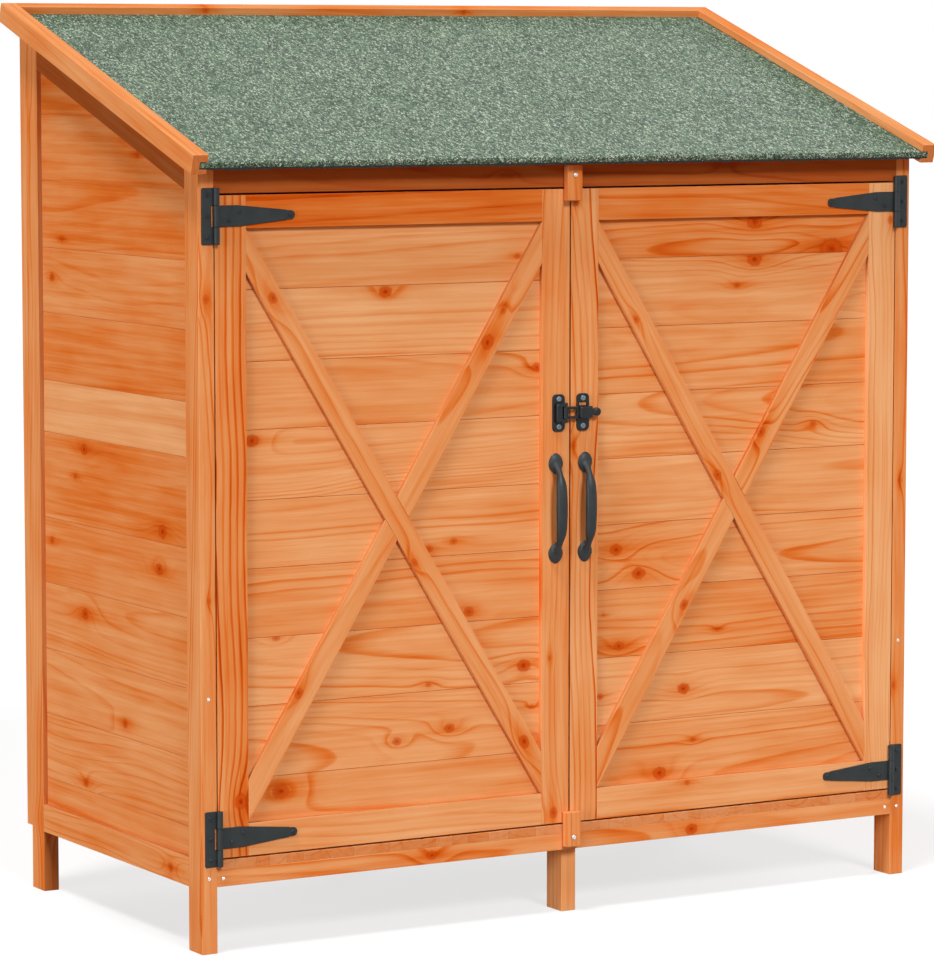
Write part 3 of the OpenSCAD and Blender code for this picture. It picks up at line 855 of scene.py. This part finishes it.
granule_colour = ramp(granule_shade, [
    (0.0, rgb(9, 20, 13)), (0.25, rgb(30, 49, 33)), (0.5, rgb(49, 72, 51)),
    (0.75, rgb(72, 98, 70)), (1.0, rgb(108, 134, 103)),
])
granule_colour = mixed(cell_hue * 0.2, granule_colour, rgb(52, 76, 54))
white_share = cell_bright * 0.55 + grit_bright * 0.45 + chip_speck * 0.25
white_grain = ramp(white_share, [(0.0, 0.0), (0.7, 0.0), (0.79, 0.85)])
granule_colour = mixed(white_grain, granule_colour, rgb(176, 184, 167))
white_chip = ramp(chip_speck, [(0.0, 0.0), (0.68, 0.0), (0.86, 0.9)])
granule_colour = mixed(white_chip, granule_colour, rgb(222, 228, 218))
granule_colour = mixed(under_lip, granule_colour, rgb(26, 30, 29))
granule_height = cell_shade * 0.5 + grit_shade * 0.3 - cell_distance * 1.2 + patch * 0.4
granule_bump = felt_tree.node(
    "ShaderNodeBump", sockets={"Strength": 0.7, "Distance": 0.0012, "Height": granule_height})
feed(felt_shader, Base_Color=granule_colour, Roughness=0.95 - cell_shade * 0.25, Normal=granule_bump)
print("granule felt:", len(felt.node_tree.nodes), "nodes")

# %% Shapes through rings
def loft(rings, start_tip=None, end_tip=None):
    """Points and faces of a closed shape through rings of points; an end has a tip or one flat face."""
    around = len(rings[0])
    verts = [spot for ring in rings for spot in ring]
    faces = []
    for row in range(len(rings) - 1):
        for step in range(around):
            first = row * around + step
            second = row * around + (step + 1) % around
            faces.append([first, second, second + around, first + around])
    first_ring = list(range(around))
    last_ring = list(range(len(verts) - around, len(verts)))
    for tip, ring in ((start_tip, first_ring[::-1]), (end_tip, last_ring)):
        if tip is None:
            faces.append(ring)
        else:
            faces += [[len(verts), first, second] for first, second in zip(ring, ring[1:] + ring[:1])]
            verts.append(tip)
    return verts, faces


# %% Felt sheet with a turned-down edge
FELT_ROWS = 60
FELT_COLUMNS = 270
FELT_SINK = 0.35
FELT_WAVE = 0.3
LIP_BEND = 3.5
LIP_STEPS = 4
LIP_BOTTOM = -1.8
LIP_RAGGED = (-0.5, 1.6)
FELT_TOP = DECK_T + FELT_T
bend_start = ROOF_FRONT + LIP_BEND
sheet_profile = []
for step in range(FELT_ROWS + 1):
    sheet_profile.append((DECK_BACK + (bend_start - DECK_BACK) * step / FELT_ROWS, FELT_TOP))
for step in range(1, LIP_STEPS + 1):
    turn = math.radians(90 * step / LIP_STEPS)
    sheet_profile.append((bend_start - LIP_BEND * math.sin(turn),
                          FELT_TOP - LIP_BEND + LIP_BEND * math.cos(turn)))
sheet_profile += [(ROOF_FRONT, 2.6), (ROOF_FRONT + 0.3, LIP_BOTTOM)]
edge_row = len(sheet_profile) - 1
inner_front = ROOF_FRONT + FELT_T
sheet_profile += [(inner_front - 0.2, LIP_BOTTOM), (inner_front, DECK_T), (DECK_BACK, DECK_T)]

columns = []
for number in range(FELT_COLUMNS + 1):
    x = -DECK_HALF + 2 * DECK_HALF * number / FELT_COLUMNS
    ragged = chance.uniform(*LIP_RAGGED)
    column = []
    for row, (u, v) in enumerate(sheet_profile):
        lift = 0.0
        if row in (edge_row, edge_row + 1):
            lift = ragged
        elif row <= FELT_ROWS:
            wave = math.sin(x * 0.011 + u * 0.017) * math.sin(u * 0.009 - x * 0.006)
            lift = FELT_WAVE * wave - FELT_SINK
        column.append(on_roof @ Vector((x, u, v + lift)))
    columns.append(column)
felt_verts, felt_faces = loft(columns)
# A mark holds how pale a chip is and how far a face lies under the lip
column_marks = [(0.0, float(row >= edge_row - 1), 0.0) for row in range(len(sheet_profile))]
felt_marks = column_marks * FELT_COLUMNS + [(0.0, 0.5, 0.0)] * 2
print("felt sheet faces:", len(felt_faces))

# %% Loose granules
LIP_CHIPS = 4600
TOP_CHIPS = 8000
CHIP_MARGIN = 1.5
CHIP_SHAPE = [(1, 0, 0), (-1, 0, 0), (0, 1, 0), (0, -1, 0), (0, 0, 1), (0, 0, -1)]
CHIP_FACES = [(0, 2, 4), (2, 1, 4), (1, 3, 4), (3, 0, 4), (2, 0, 5), (1, 2, 5), (3, 1, 5), (0, 3, 5)]


def add_chip(spot, size, dullness):
    """An angular chip of slate, turned at chance; with more dullness, fewer are pale."""
    turn = Matrix.Rotation(chance.uniform(0, math.tau), 3, "Z") @ Matrix.Rotation(
        chance.uniform(-0.8, 0.8), 3, "X")
    start = len(felt_verts)
    for corner in CHIP_SHAPE:
        stretched = Vector([number * size * chance.uniform(0.6, 1.25) for number in corner])
        stretched.z *= 0.7
        felt_verts.append(on_roof @ (Vector(spot) + turn @ stretched))
    speck = chance.random() ** dullness
    for ring in CHIP_FACES:
        felt_faces.append([start + index for index in ring])
        felt_marks.append((speck, 0.0, 0.0))


for _ in range(LIP_CHIPS):
    x = chance.uniform(-DECK_HALF + CHIP_MARGIN, DECK_HALF - CHIP_MARGIN)
    if chance.random() < 0.5:
        if abs(x) < POST_OUTER - CHIP_MARGIN:
            add_chip((x, bend_start + chance.uniform(0, 12) - 3, FELT_TOP - 0.3),
                     chance.uniform(0.7, 1.5), 1.4)
    else:
        add_chip((x, ROOF_FRONT, 2.0 + 8.0 * math.sqrt(chance.random())),
                 chance.uniform(0.8, 1.7), 1.2)
for _ in range(TOP_CHIPS):
    spot = (chance.uniform(-POST_OUTER + CHIP_MARGIN, POST_OUTER - CHIP_MARGIN),
            chance.uniform(ROOF_FRONT + 6, DECK_BACK - CHIP_MARGIN), FELT_TOP - 0.45)
    add_chip(spot, chance.uniform(0.6, 1.2), 2.2)
felt_mesh = bpy.data.meshes.new("roof_felt_sheet")
felt_mesh.from_pydata([spot * MM for spot in felt_verts], [], felt_faces)
write_faces(felt_mesh, "granule", felt_marks)
wear(bpy.data.objects.new("roof_felt_sheet", felt_mesh), felt, "roof_felt")
print("felt faces with granules:", len(felt_faces))

# %% [markdown]
# ## Black iron
# The fittings are cheap stamped and cast iron with a matt slate-black powder coat. The coat is a
# little uneven, and shines slightly more where hands and edges rub it. A fine noise drives the bump
# and the roughness, so that broad faces don't look like plastic.

# %% Powder-coat finish
def powder_coat(name, dark, light, dullness):
    """A coat on iron whose colour wanders between two shades."""
    finish, tree, shader = new_finish(name)
    place = tree.node("ShaderNodeTexCoord", out="Object")
    coat_grain = noise(place, scale=900.0, detail=3.0) - 0.5
    coat_patch = noise(place, scale=60.0, detail=3.0) - 0.5
    colour = mixed(coat_patch * 1.2 + coat_grain * 0.5 + 0.5, dark, light)
    bump = tree.node(
        "ShaderNodeBump", sockets={"Strength": 0.25, "Distance": 0.0004, "Height": coat_grain})
    roughness = dullness + coat_patch * 0.35 + coat_grain * 0.2
    feed(shader, Base_Color=colour, Roughness=roughness, Normal=bump)
    shader.inputs["Specular IOR Level"].default_value = 0.28
    return finish


iron = powder_coat("powder_coated_iron", rgb(29, 34, 36), rgb(47, 52, 54), 0.44)
latch_iron = powder_coat("blackened_iron", rgb(15, 19, 23), rgb(31, 36, 40), 0.36)

# %% Steel and zinc finishes
def bare_metal(name, dark, light, grain, dullness, metallic):
    """A metal whose colour and shine wander a little."""
    finish, tree, shader = new_finish(name)
    metal_patch = noise(tree.node("ShaderNodeTexCoord", out="Object"), scale=grain) - 0.5
    feed(shader, Base_Color=mixed(metal_patch + 0.5, dark, light), Roughness=dullness + metal_patch * 0.3)
    shader.inputs["Metallic"].default_value = metallic
    return finish


steel = bare_metal("dull_steel", rgb(84, 96, 104), rgb(134, 146, 152), 800.0, 0.42, 0.7)
zinc = bare_metal("bright_zinc", rgb(188, 190, 192), rgb(232, 233, 234), 700.0, 0.34, 1.0)
print("finishes:", [material.name for material in (fir, felt, iron, latch_iron, steel, zinc)])

# %% [markdown]
# ## Parts of the fittings
# A fitting is a handful of simple solids: plates cut to an outline, barrels, and screw heads. Each is
# made by a small function as lists of points and faces, because lists are easy to move and to join.

# %% Plates, barrels and screws
def lists_of(shape):
    """Points and faces of a shape, which is given up."""
    shape.verts.index_update()
    verts = [vert.co.copy() for vert in shape.verts]
    faces = [[vert.index for vert in item.verts] for item in shape.faces]
    shape.free()
    return verts, faces


def ring_edges(shape, outline, y):
    ring = [shape.verts.new((x, y, z)) for x, z in outline]
    return [shape.edges.new((first, second)) for first, second in zip(ring, ring[1:] + ring[:1])]


def plate(outline, back, front, eased=0.6, hole=None):
    """A flat piece with an outline in X and Z and maybe a hole, between two depths."""
    shape = bmesh.new()
    edges = ring_edges(shape, outline, back)
    if hole:
        edges += ring_edges(shape, hole, back)
        bmesh.ops.triangle_fill(shape, use_beauty=True, use_dissolve=False, edges=edges)
    else:
        bmesh.ops.contextual_create(shape, geom=edges)
    raised = bmesh.ops.extrude_face_region(shape, geom=shape.faces[:])
    for item in raised["geom"]:
        if isinstance(item, bmesh.types.BMVert):
            item.co.y = front
    bmesh.ops.recalc_face_normals(shape, faces=shape.faces[:])
    rim = [edge for edge in shape.edges if all(abs(vert.co.y - front) < 1e-6 for vert in edge.verts)
           and edge.calc_face_angle(0.0) > 0.5]
    bmesh.ops.bevel(shape, geom=rim, offset=eased, segments=3, profile=0.5, affect="EDGES",
                    clamp_overlap=True)
    return lists_of(shape)


def barrel(middle, radius, height, eased=0.5, segments=28):
    """An upright barrel with eased ends."""
    shape = bmesh.new()
    bmesh.ops.create_cone(shape, cap_ends=True, segments=segments, radius1=radius, radius2=radius,
                          depth=height)
    rims = [edge for edge in shape.edges if abs(edge.verts[0].co.z - edge.verts[1].co.z) < 1e-6]
    bmesh.ops.bevel(shape, geom=rims, offset=eased, segments=2, profile=0.5, affect="EDGES")
    bmesh.ops.translate(shape, vec=Vector(middle), verts=shape.verts[:])
    return lists_of(shape)


def eased_block(low, high, eased):
    shape = plain_block(low, high)
    bmesh.ops.bevel(shape, geom=shape.edges[:], offset=eased, segments=3, profile=0.5, affect="EDGES",
                    clamp_overlap=True)
    return lists_of(shape)


SCREW_SEGMENTS = 32
SCREW_RINGS = (0.12, 0.3, 0.5, 0.62, 0.78, 0.92, 1.0)
SCREW_TURN = 1.5
RECESS_REACH = 0.55
RECESS_STEPS = (7, 0, 1)


def screw(x, y, z, radius, dome, turn=None):
    """A domed head with a cross recess, on a face that looks to the front."""
    if turn is None:
        turn = chance.uniform(0, SCREW_TURN)
    rings = []
    for share in SCREW_RINGS:
        ring = []
        for step in range(SCREW_SEGMENTS):
            angle = math.tau * step / SCREW_SEGMENTS + turn
            height = dome * math.sqrt(max(0.0, 1 - share ** 2.6))
            if share < RECESS_REACH and step % (SCREW_SEGMENTS // 4) in RECESS_STEPS:
                height = dome * 0.4
            ring.append(Vector((x + radius * share * math.cos(angle), y - height,
                                z + radius * share * math.sin(angle))))
        rings.append(ring)
    return loft(rings, start_tip=Vector((x, y - dome * 0.45, z)))


def fitting(name, node, parts, material=None, mirror=False, steel_parts=()):
    """One piece out of lists, in the place of a CAD node if one is named, and mirrored if asked."""
    shape = bmesh.new()
    for number, (verts, faces) in enumerate([*parts, *steel_parts]):
        made = [shape.verts.new(Vector((-spot.x if mirror else spot.x, spot.y, spot.z)) * MM)
                for spot in verts]
        for ring in faces:
            shape.faces.new([made[index] for index in ring]).material_index = int(number >= len(parts))
    bmesh.ops.recalc_face_normals(shape, faces=shape.faces[:])
    mesh = bpy.data.meshes.new(name)
    shape.to_mesh(mesh)
    shape.free()
    piece = bpy.data.objects.new(name, mesh)
    even_shading(piece)
    wear(piece, material or iron, node)
    if steel_parts:
        mesh.materials.append(steel)
    return piece


# %% [markdown]
# ## Strap hinges
# A plate on the post and a tapered strap on the door share a pin. The strap's outline is straight at
# the root, narrows to a small shoulder and ends round, with two screws near the root and one at the
# tip. The left hinge is drawn once and mirrored for the right.

# %% Hinges
LEAF_T = 2.5
PLATE_H = 88.0
PLATE_EDGE = -669.5
KNUCKLE_R = 5.0
STRAP_LEN = 139.0
STRAP_ROOT_H = 33.0
STRAP_TIP_H = 14.0
HINGE_X = -645.5
HINGE_Y = FRONT_Y - 5.25
HINGE_HEIGHTS = (183.0, 1160.0)
TAPER_START = 39.0
TAPER_END = 124.0
OUTER_KNUCKLE_H = (PLATE_H - STRAP_ROOT_H) / 2 - 0.5
HINGE_SLOT = 2.2
PLATE_SCREWS = (-33.0, 0.0, 33.0)
STRAP_SCREWS = ((23.0, -7.5), (42.0, 6.0), (131.0, 0.0))
HINGE_SCREW = (3.8, 2.0)
HINGE_PIN_R = 2.6
TIP_STEPS = 12


def hinge_plate(height):
    half = PLATE_H / 2
    edge = HINGE_X - 0.8
    corner = 2.0
    slot_x = HINGE_X - KNUCKLE_R - HINGE_SLOT
    slot_half = STRAP_ROOT_H / 2 + 0.5
    outline = [(PLATE_EDGE + corner, height - half), (edge, height - half), (edge, height - slot_half),
               (slot_x, height - slot_half), (slot_x, height + slot_half), (edge, height + slot_half),
               (edge, height + half), (PLATE_EDGE + corner, height + half),
               (PLATE_EDGE, height + half - corner), (PLATE_EDGE, height - half + corner)]
    parts = [plate(outline, FRONT_Y, FRONT_Y - LEAF_T, 0.7)]
    for side in (-1, 1):
        middle = (HINGE_X, HINGE_Y, height + side * (PLATE_H - OUTER_KNUCKLE_H) / 2)
        parts.append(barrel(middle, KNUCKLE_R, OUTER_KNUCKLE_H))
    parts.append(barrel((HINGE_X, HINGE_Y, height), HINGE_PIN_R, PLATE_H, 0.8))
    screw_x = (PLATE_EDGE + HINGE_X - KNUCKLE_R) / 2
    for offset in PLATE_SCREWS:
        parts.append(screw(screw_x, FRONT_Y - LEAF_T, height + offset, *HINGE_SCREW))
    return parts


def hinge_strap(height):
    root = STRAP_ROOT_H / 2
    tip = STRAP_TIP_H / 2
    outline = [(0, -root), (TAPER_START, -root), (TAPER_END, -tip - 1), (TAPER_END + 1, -tip)]
    for step in range(TIP_STEPS + 1):
        turn = math.radians(-90 + 180 * step / TIP_STEPS)
        outline.append((STRAP_LEN - tip + tip * math.cos(turn), tip * math.sin(turn)))
    outline += [(TAPER_END + 1, tip), (TAPER_END, tip + 1), (TAPER_START, root), (0, root)]
    outline = [(HINGE_X + x, height + z) for x, z in outline]
    parts = [plate(outline, FRONT_Y, FRONT_Y - LEAF_T, 0.7)]
    parts.append(barrel((HINGE_X, HINGE_Y, height), KNUCKLE_R, STRAP_ROOT_H))
    for x, z in STRAP_SCREWS:
        parts.append(screw(HINGE_X + x, FRONT_Y - LEAF_T, height + z, *HINGE_SCREW))
    return parts


plates = hinge_plate(HINGE_HEIGHTS[0]) + hinge_plate(HINGE_HEIGHTS[1])
straps = hinge_strap(HINGE_HEIGHTS[0]) + hinge_strap(HINGE_HEIGHTS[1])
fitting("left_hinge_plate_iron", "left_hinge_plates", plates)
fitting("right_hinge_plate_iron", "right_hinge_plates", plates, mirror=True)
fitting("left_strap_iron", "left_door_straps", straps)
fitting("right_strap_iron", "right_door_straps", straps, mirror=True)
print("hinges: 4")

# %% [markdown]
# ## Latch
# A plate on the left door carries an upright pin, and a flat loop swings on it and drops over a stud
# on the right door. The loop has a window over the meeting line of the doors, and ends in a thumb
# block with a round knob.

# %% Latch
LATCH_Z = 828.0
LATCH_PLATE_T = 3.0
LATCH_PLATE_W = 23.0
LATCH_PLATE_H = 61.0
LATCH_MIDDLE_X = 23.0
LATCH_PIN_X = -13.5
LATCH_PIN_Y = FRONT_Y - 7.5
LOOP_H = 20.0
LOOP_T = 5.0
WINDOW_W = 16.0
WINDOW_H = 11.0
BLOCK_START = 11.5
BLOCK_END = 36.0
KNOB_X = 44.5
KNOB_R = 6.8
KEEPER_SLOT_W = 14.5
KEEPER_SLOT = (10.8, 17.0)
LATCH_SCREW_AT = 22.5
LATCH_SCREW = (4.8, 1.7)
LATCH_KNUCKLE_R = 4.0
LATCH_PIN_R = 2.0
LATCH_PIN_H = 32.0
HOUSING_X = (-30.5, -18.5)
EAR_X = -22.0
EAR_Z = 13.5
EAR_H = 6.0
STUD_R = 3.0


def rounded(x, z, half_w, half_h, corner):
    """An outline with round corners."""
    outline = []
    for quarter, (way_x, way_z) in enumerate(((1, 1), (-1, 1), (-1, -1), (1, -1))):
        for step in range(8):
            turn = math.radians(90 * quarter + 90 * step / 7)
            outline.append((x + way_x * (half_w - corner) + corner * math.cos(turn),
                            z + way_z * (half_h - corner) + corner * math.sin(turn)))
    return outline


def round_outline(x, z, radius, steps):
    return [(x + radius * math.cos(math.tau * step / steps), z + radius * math.sin(math.tau * step / steps))
            for step in range(steps)]


def latch_base(x, hole=None):
    outline = rounded(x, LATCH_Z, LATCH_PLATE_W / 2, LATCH_PLATE_H / 2, 7.5)
    return plate(outline, FRONT_Y, FRONT_Y - LATCH_PLATE_T, 1.0, hole)


def latch_screws(x):
    return [screw(x, FRONT_Y - LATCH_PLATE_T, LATCH_Z + side * LATCH_SCREW_AT, *LATCH_SCREW)
            for side in (-1, 1)]


def latch_block(across, depth, half_h, eased, z=LATCH_Z):
    """An eased block about a height, between two places across and two in depth."""
    return eased_block((across[0], depth[0], z - half_h), (across[1], depth[1], z + half_h), eased)


def latch_barrel(radius, height, eased, z=LATCH_Z):
    return barrel((LATCH_PIN_X, LATCH_PIN_Y, z), radius, height, eased)


housing = [
    latch_base(-LATCH_MIDDLE_X), latch_block(HOUSING_X, (LATCH_PIN_Y - 2.6, FRONT_Y - 2), 16, 3.4),
    latch_barrel(LATCH_PIN_R, LATCH_PIN_H, 0.6),
]
for ear_z in (LATCH_Z - EAR_Z, LATCH_Z + EAR_Z):
    housing.append(latch_barrel(LATCH_KNUCKLE_R, EAR_H, 0.8, ear_z))
    housing.append(latch_block((EAR_X, LATCH_PIN_X), (LATCH_PIN_Y - 3.2, FRONT_Y - 2.5), EAR_H / 2, 0.6,
                               ear_z))
fitting("latch_plate_iron", "latch_plate", housing, latch_iron,
        steel_parts=latch_screws(-LATCH_MIDDLE_X))

slot_middle = LATCH_Z + sum(KEEPER_SLOT) / 2
slot_half = (KEEPER_SLOT[1] - KEEPER_SLOT[0]) / 2
slot_hole = rounded(LATCH_MIDDLE_X, slot_middle, KEEPER_SLOT_W / 2, slot_half, 1.5)
stud = plate(round_outline(LATCH_MIDDLE_X, LATCH_Z, STUD_R, 20), FRONT_Y - 2.5, FRONT_Y - 6.0, 0.4)
keeper = [latch_base(LATCH_MIDDLE_X, slot_hole), stud]
fitting("latch_keeper_iron", "latch_keeper", keeper, latch_iron,
        steel_parts=latch_screws(LATCH_MIDDLE_X))

# %% Latch loop
loop_front = LATCH_PIN_Y - LOOP_T / 2
loop_back = LATCH_PIN_Y + LOOP_T / 2
loop_depth = (loop_front, loop_back)
bar_h = (LOOP_H - WINDOW_H) / 2
end_half = LOOP_H / 2 - 0.2
loop = [latch_barrel(LATCH_KNUCKLE_R, LOOP_H, 0.8)]
for side in (-1, 1):
    loop.append(latch_block((LATCH_PIN_X, BLOCK_START + 1), loop_depth, bar_h / 2, 1.3,
                            LATCH_Z + side * (WINDOW_H + bar_h) / 2))
loop += [
    latch_block((LATCH_PIN_X, -WINDOW_W / 2), loop_depth, end_half, 1.2),
    latch_block((WINDOW_W / 2, BLOCK_START + 1.5), loop_depth, end_half, 1.0),
    latch_block((BLOCK_START, BLOCK_END), (loop_front - 5.0, loop_back - 2.6), LOOP_H / 2, 3.2),
    latch_block((BLOCK_END - 3, KNOB_X), (loop_front - 3.8, loop_back - 2.8), 5.6, 1.6),
    plate(round_outline(KNOB_X, LATCH_Z, KNOB_R, 32), loop_back - 2.6, loop_front - 5.0, 2.8),
]
fitting("latch_loop_iron", "latch_loop", loop, latch_iron)
print("latch parts:", len(housing) + len(keeper) + len(loop))

# %% [markdown]
# ## Pull handles
# The pulls are castings: round pads against the stile, thin necks, and a grip that swells in the
# middle. Drawing the fillets by hand would take long. A tube with a changing oval section and two
# domed pads overlap, a voxel remesh melts them together, and smoothing rounds the joins.

# %% Handles
HANDLE_X = -28.0
HANDLE_Z = 672.0
HANDLE_HALF = 73.0
GRIP_STEPS = 56
GRIP_AROUND = 20
PAD_R = 14.0
PAD_DOME = 7.0
PAD_STRETCH = 1.28
PAD_RINGS = 8
PAD_AROUND = 32
GRIP_NEAR = 3.2
GRIP_RISE = 18.3
NECK_AT = 0.8
NECK_SPREAD = 0.17
HANDLE_VOXEL_M = 0.0009


def grip_forward(share):
    """How far the grip's middle stands off the stile; share runs from 0 at the middle to 1 at a pad."""
    return GRIP_NEAR + GRIP_RISE * (1 - share ** 3.6)


def grip_oval(share):
    """Half width and half depth of the grip."""
    neck = math.exp(-((share - NECK_AT) / NECK_SPREAD) ** 2)
    half_w = 10.1 - 1.6 * share - 3.6 * neck
    half_d = 7.4 - 2.0 * share - 1.2 * neck
    return half_w, half_d


def grip():
    """The bowed bar from pad to pad, each oval square to the bow."""
    rings = []
    for step in range(GRIP_STEPS + 1):
        place = -1 + 2 * step / GRIP_STEPS
        share = abs(place)
        half_w, half_d = grip_oval(share)
        drop = grip_forward(max(0, share - 0.01)) - grip_forward(min(1, share + 0.01))
        lean = math.atan(drop / (0.02 * HANDLE_HALF)) * (1 if place > 0 else -1)
        ring = []
        for spoke in range(GRIP_AROUND):
            angle = math.tau * spoke / GRIP_AROUND
            out = half_d * math.sin(angle)
            ring.append(Vector((
                HANDLE_X + half_w * math.cos(angle),
                FRONT_Y - grip_forward(share) - out * math.cos(lean),
                HANDLE_Z + place * HANDLE_HALF + out * math.sin(lean))))
        rings.append(ring)
    return loft(rings)


def pad(neck_way):
    """A domed pad, round at its free end and narrow towards the neck, flat against the stile."""
    middle_z = HANDLE_Z - neck_way * HANDLE_HALF
    rings = []
    for number in range(PAD_RINGS):
        rise = math.radians(86 * number / (PAD_RINGS - 1))
        spread = PAD_R * math.cos(rise)
        ring = []
        for step in range(PAD_AROUND):
            angle = math.tau * step / PAD_AROUND
            narrowed = 1 - (0.4 if math.sin(angle) * neck_way > 0 else 0.1) * math.sin(angle) ** 2
            ring.append(Vector((
                HANDLE_X + spread * narrowed * math.cos(angle), FRONT_Y - PAD_DOME * math.sin(rise),
                middle_z + spread * PAD_STRETCH * math.sin(angle))))
        rings.append(ring)
    flat_middle = Vector((HANDLE_X, FRONT_Y, middle_z))
    return loft(rings, flat_middle, flat_middle - Vector((0, PAD_DOME, 0)))


handle_parts = [grip(), pad(1), pad(-1)]
for side, mirrored in (("left", False), ("right", True)):
    pull = fitting(side + "_handle_iron", side + "_handle", handle_parts, mirror=mirrored)
    pull.modifiers.clear()
    melt = pull.modifiers.new("melt", "REMESH")
    melt.mode = "VOXEL"
    melt.voxel_size = HANDLE_VOXEL_M
    melt.use_smooth_shade = True
    soften = pull.modifiers.new("soften", "SMOOTH")
    soften.factor = 0.5
    soften.iterations = 7
print("pulls: 2")

# %% [markdown]
# ## Screws in the wood
# A few bright screw heads show on the posts and the front rail, and one on each turn button. They sit
# flush in the wood, so each is a low domed head.

# %% Wood screws
BUTTON_SCREW_HEIGHTS = (128.0, 1215.0)
BUTTON_SCREW = (4.0, 2.2)
BODY_SCREW = (2.9, 0.75)
SHANK_R = 2.2
SHANK_LEN = 15.0
head_y = corners_mm("button_screws")[0].y + 2.4
shank_y = FRONT_Y - 7.6
button_screws = []
for height in BUTTON_SCREW_HEIGHTS:
    button_screws.append(screw(0, head_y, height, *BUTTON_SCREW, turn=0.5))
    upright, shank_faces = barrel((0, 0, 0), SHANK_R, SHANK_LEN, 0.2, 20)
    lying = [Vector((spot.x, shank_y + spot.z, height + spot.y)) for spot in upright]
    button_screws.append((lying, shank_faces))
fitting("button_screw_zinc", "button_screws", button_screws, zinc)

BODY_SCREWS = [(-661.5, 405), (-661.5, 120), (-637, 119), (637, 119), (661.5, 119), (661.5, 407)]
body_screws = [screw(x, FRONT_Y + 0.25, z, *BODY_SCREW) for x, z in BODY_SCREWS]
fitting("body_screws", None, body_screws, zinc)
print("screw heads:", len(BODY_SCREWS) + len(BUTTON_SCREW_HEIGHTS))

# %% [markdown]
# ## Floor, light and background
# A pale floor takes the shed's soft shadow. One lamp lights the doors from the front, a second one the
# roof from above, a low one the left side and the legs under the shed, and another one the back and the
# right side. A dim even surround leaves the shadows under the roof deep, and a colour looks about as it
# is written. The white background is there only for rays that come from the camera, straight or by way
# of gloss, so it adds no light.

# %% Floor
def seen_rays(tree):
    """1 for rays that come from the camera, also by way of gloss or glass, and 0 for other light."""
    straight = tree.node("ShaderNodeLightPath", out="Is Camera Ray")
    bent = tree.math("MAXIMUM", straight.sibling("Is Glossy Ray"), straight.sibling("Is Transmission Ray"))
    return tree.math("MAXIMUM", straight, bent)


WHITE = (1.0, 1.0, 1.0, 1.0)
FLOOR_HALF = 60.0
FLOOR_WHITE = 0.72
FLOOR_SEEN = (0.8, 0.8, 0.8, 1.0)
FLOOR_BOUNCE = (0.26, 0.21, 0.16, 1.0)
stage_mesh = bpy.data.meshes.new("studio_floor")
stage_mesh.from_pydata([(-FLOOR_HALF, -FLOOR_HALF, 0), (FLOOR_HALF, -FLOOR_HALF, 0),
                        (FLOOR_HALF, FLOOR_HALF, 0), (-FLOOR_HALF, FLOOR_HALF, 0)], [], [(0, 1, 2, 3)])
stage_floor = bpy.data.objects.new("studio_floor", stage_mesh)
bpy.context.scene.collection.objects.link(stage_floor)
floor_finish, floor_tree, floor_shader = new_finish("studio_floor")
floor_shader.inputs["Roughness"].default_value = 0.9
floor_shader.inputs["Specular IOR Level"].default_value = 0.0
floor_seen = seen_rays(floor_tree)
feed(floor_shader, Base_Color=mixed(floor_seen, FLOOR_BOUNCE, FLOOR_SEEN))
white = floor_tree.node("ShaderNodeEmission", sockets={"Color": WHITE, "Strength": 1.0})
lit = Shade(floor_tree.tree, floor_shader.outputs["BSDF"])
floor_mix = floor_tree.node(
    "ShaderNodeMixShader", sockets={0: floor_seen * FLOOR_WHITE, 1: lit, 2: white})
floor_out = floor_tree.tree.nodes["Material Output"]
floor_tree.tree.links.new(floor_mix.socket, floor_out.inputs["Surface"])
stage_mesh.materials.append(floor_finish)

# %% Lamps and surround
SURROUND = 0.09
# Name, strength, the direction that the light comes from, and its spread in degrees
LAMPS = (
    ("front_lamp", 1.99, (-0.08, -1.4, 1.0), 15),
    ("side_lamp", 2.5, (-0.5, -0.25, 1.6), 11),
    ("low_lamp", 1.5, (-1.0, -0.3, 0.15), 25),
    ("back_lamp", 2.5, (1.0, 0.8, 0.4), 20),
)
for name, strength, comes_from, spread in LAMPS:
    sun = bpy.data.lights.new(name, "SUN")
    sun.energy = strength
    sun.angle = math.radians(spread)
    lamp = bpy.data.objects.new(name, sun)
    lamp.rotation_euler = Vector(comes_from).to_track_quat("Z", "Y").to_euler()
    bpy.context.scene.collection.objects.link(lamp)
world = bpy.data.worlds.new("studio")
world.use_nodes = True
bpy.context.scene.world = world
sky = Shade(world.node_tree)
background = sky.tree.nodes["Background"]
sky_strength = seen_rays(sky) * (1.0 - SURROUND) + SURROUND
sky.tree.links.new(sky_strength.socket, background.inputs["Strength"])
background.inputs["Color"].default_value = WHITE
bpy.context.scene.view_settings.view_transform = "Standard"
print("lamps:", {lamp[0]: lamp[1] for lamp in LAMPS})
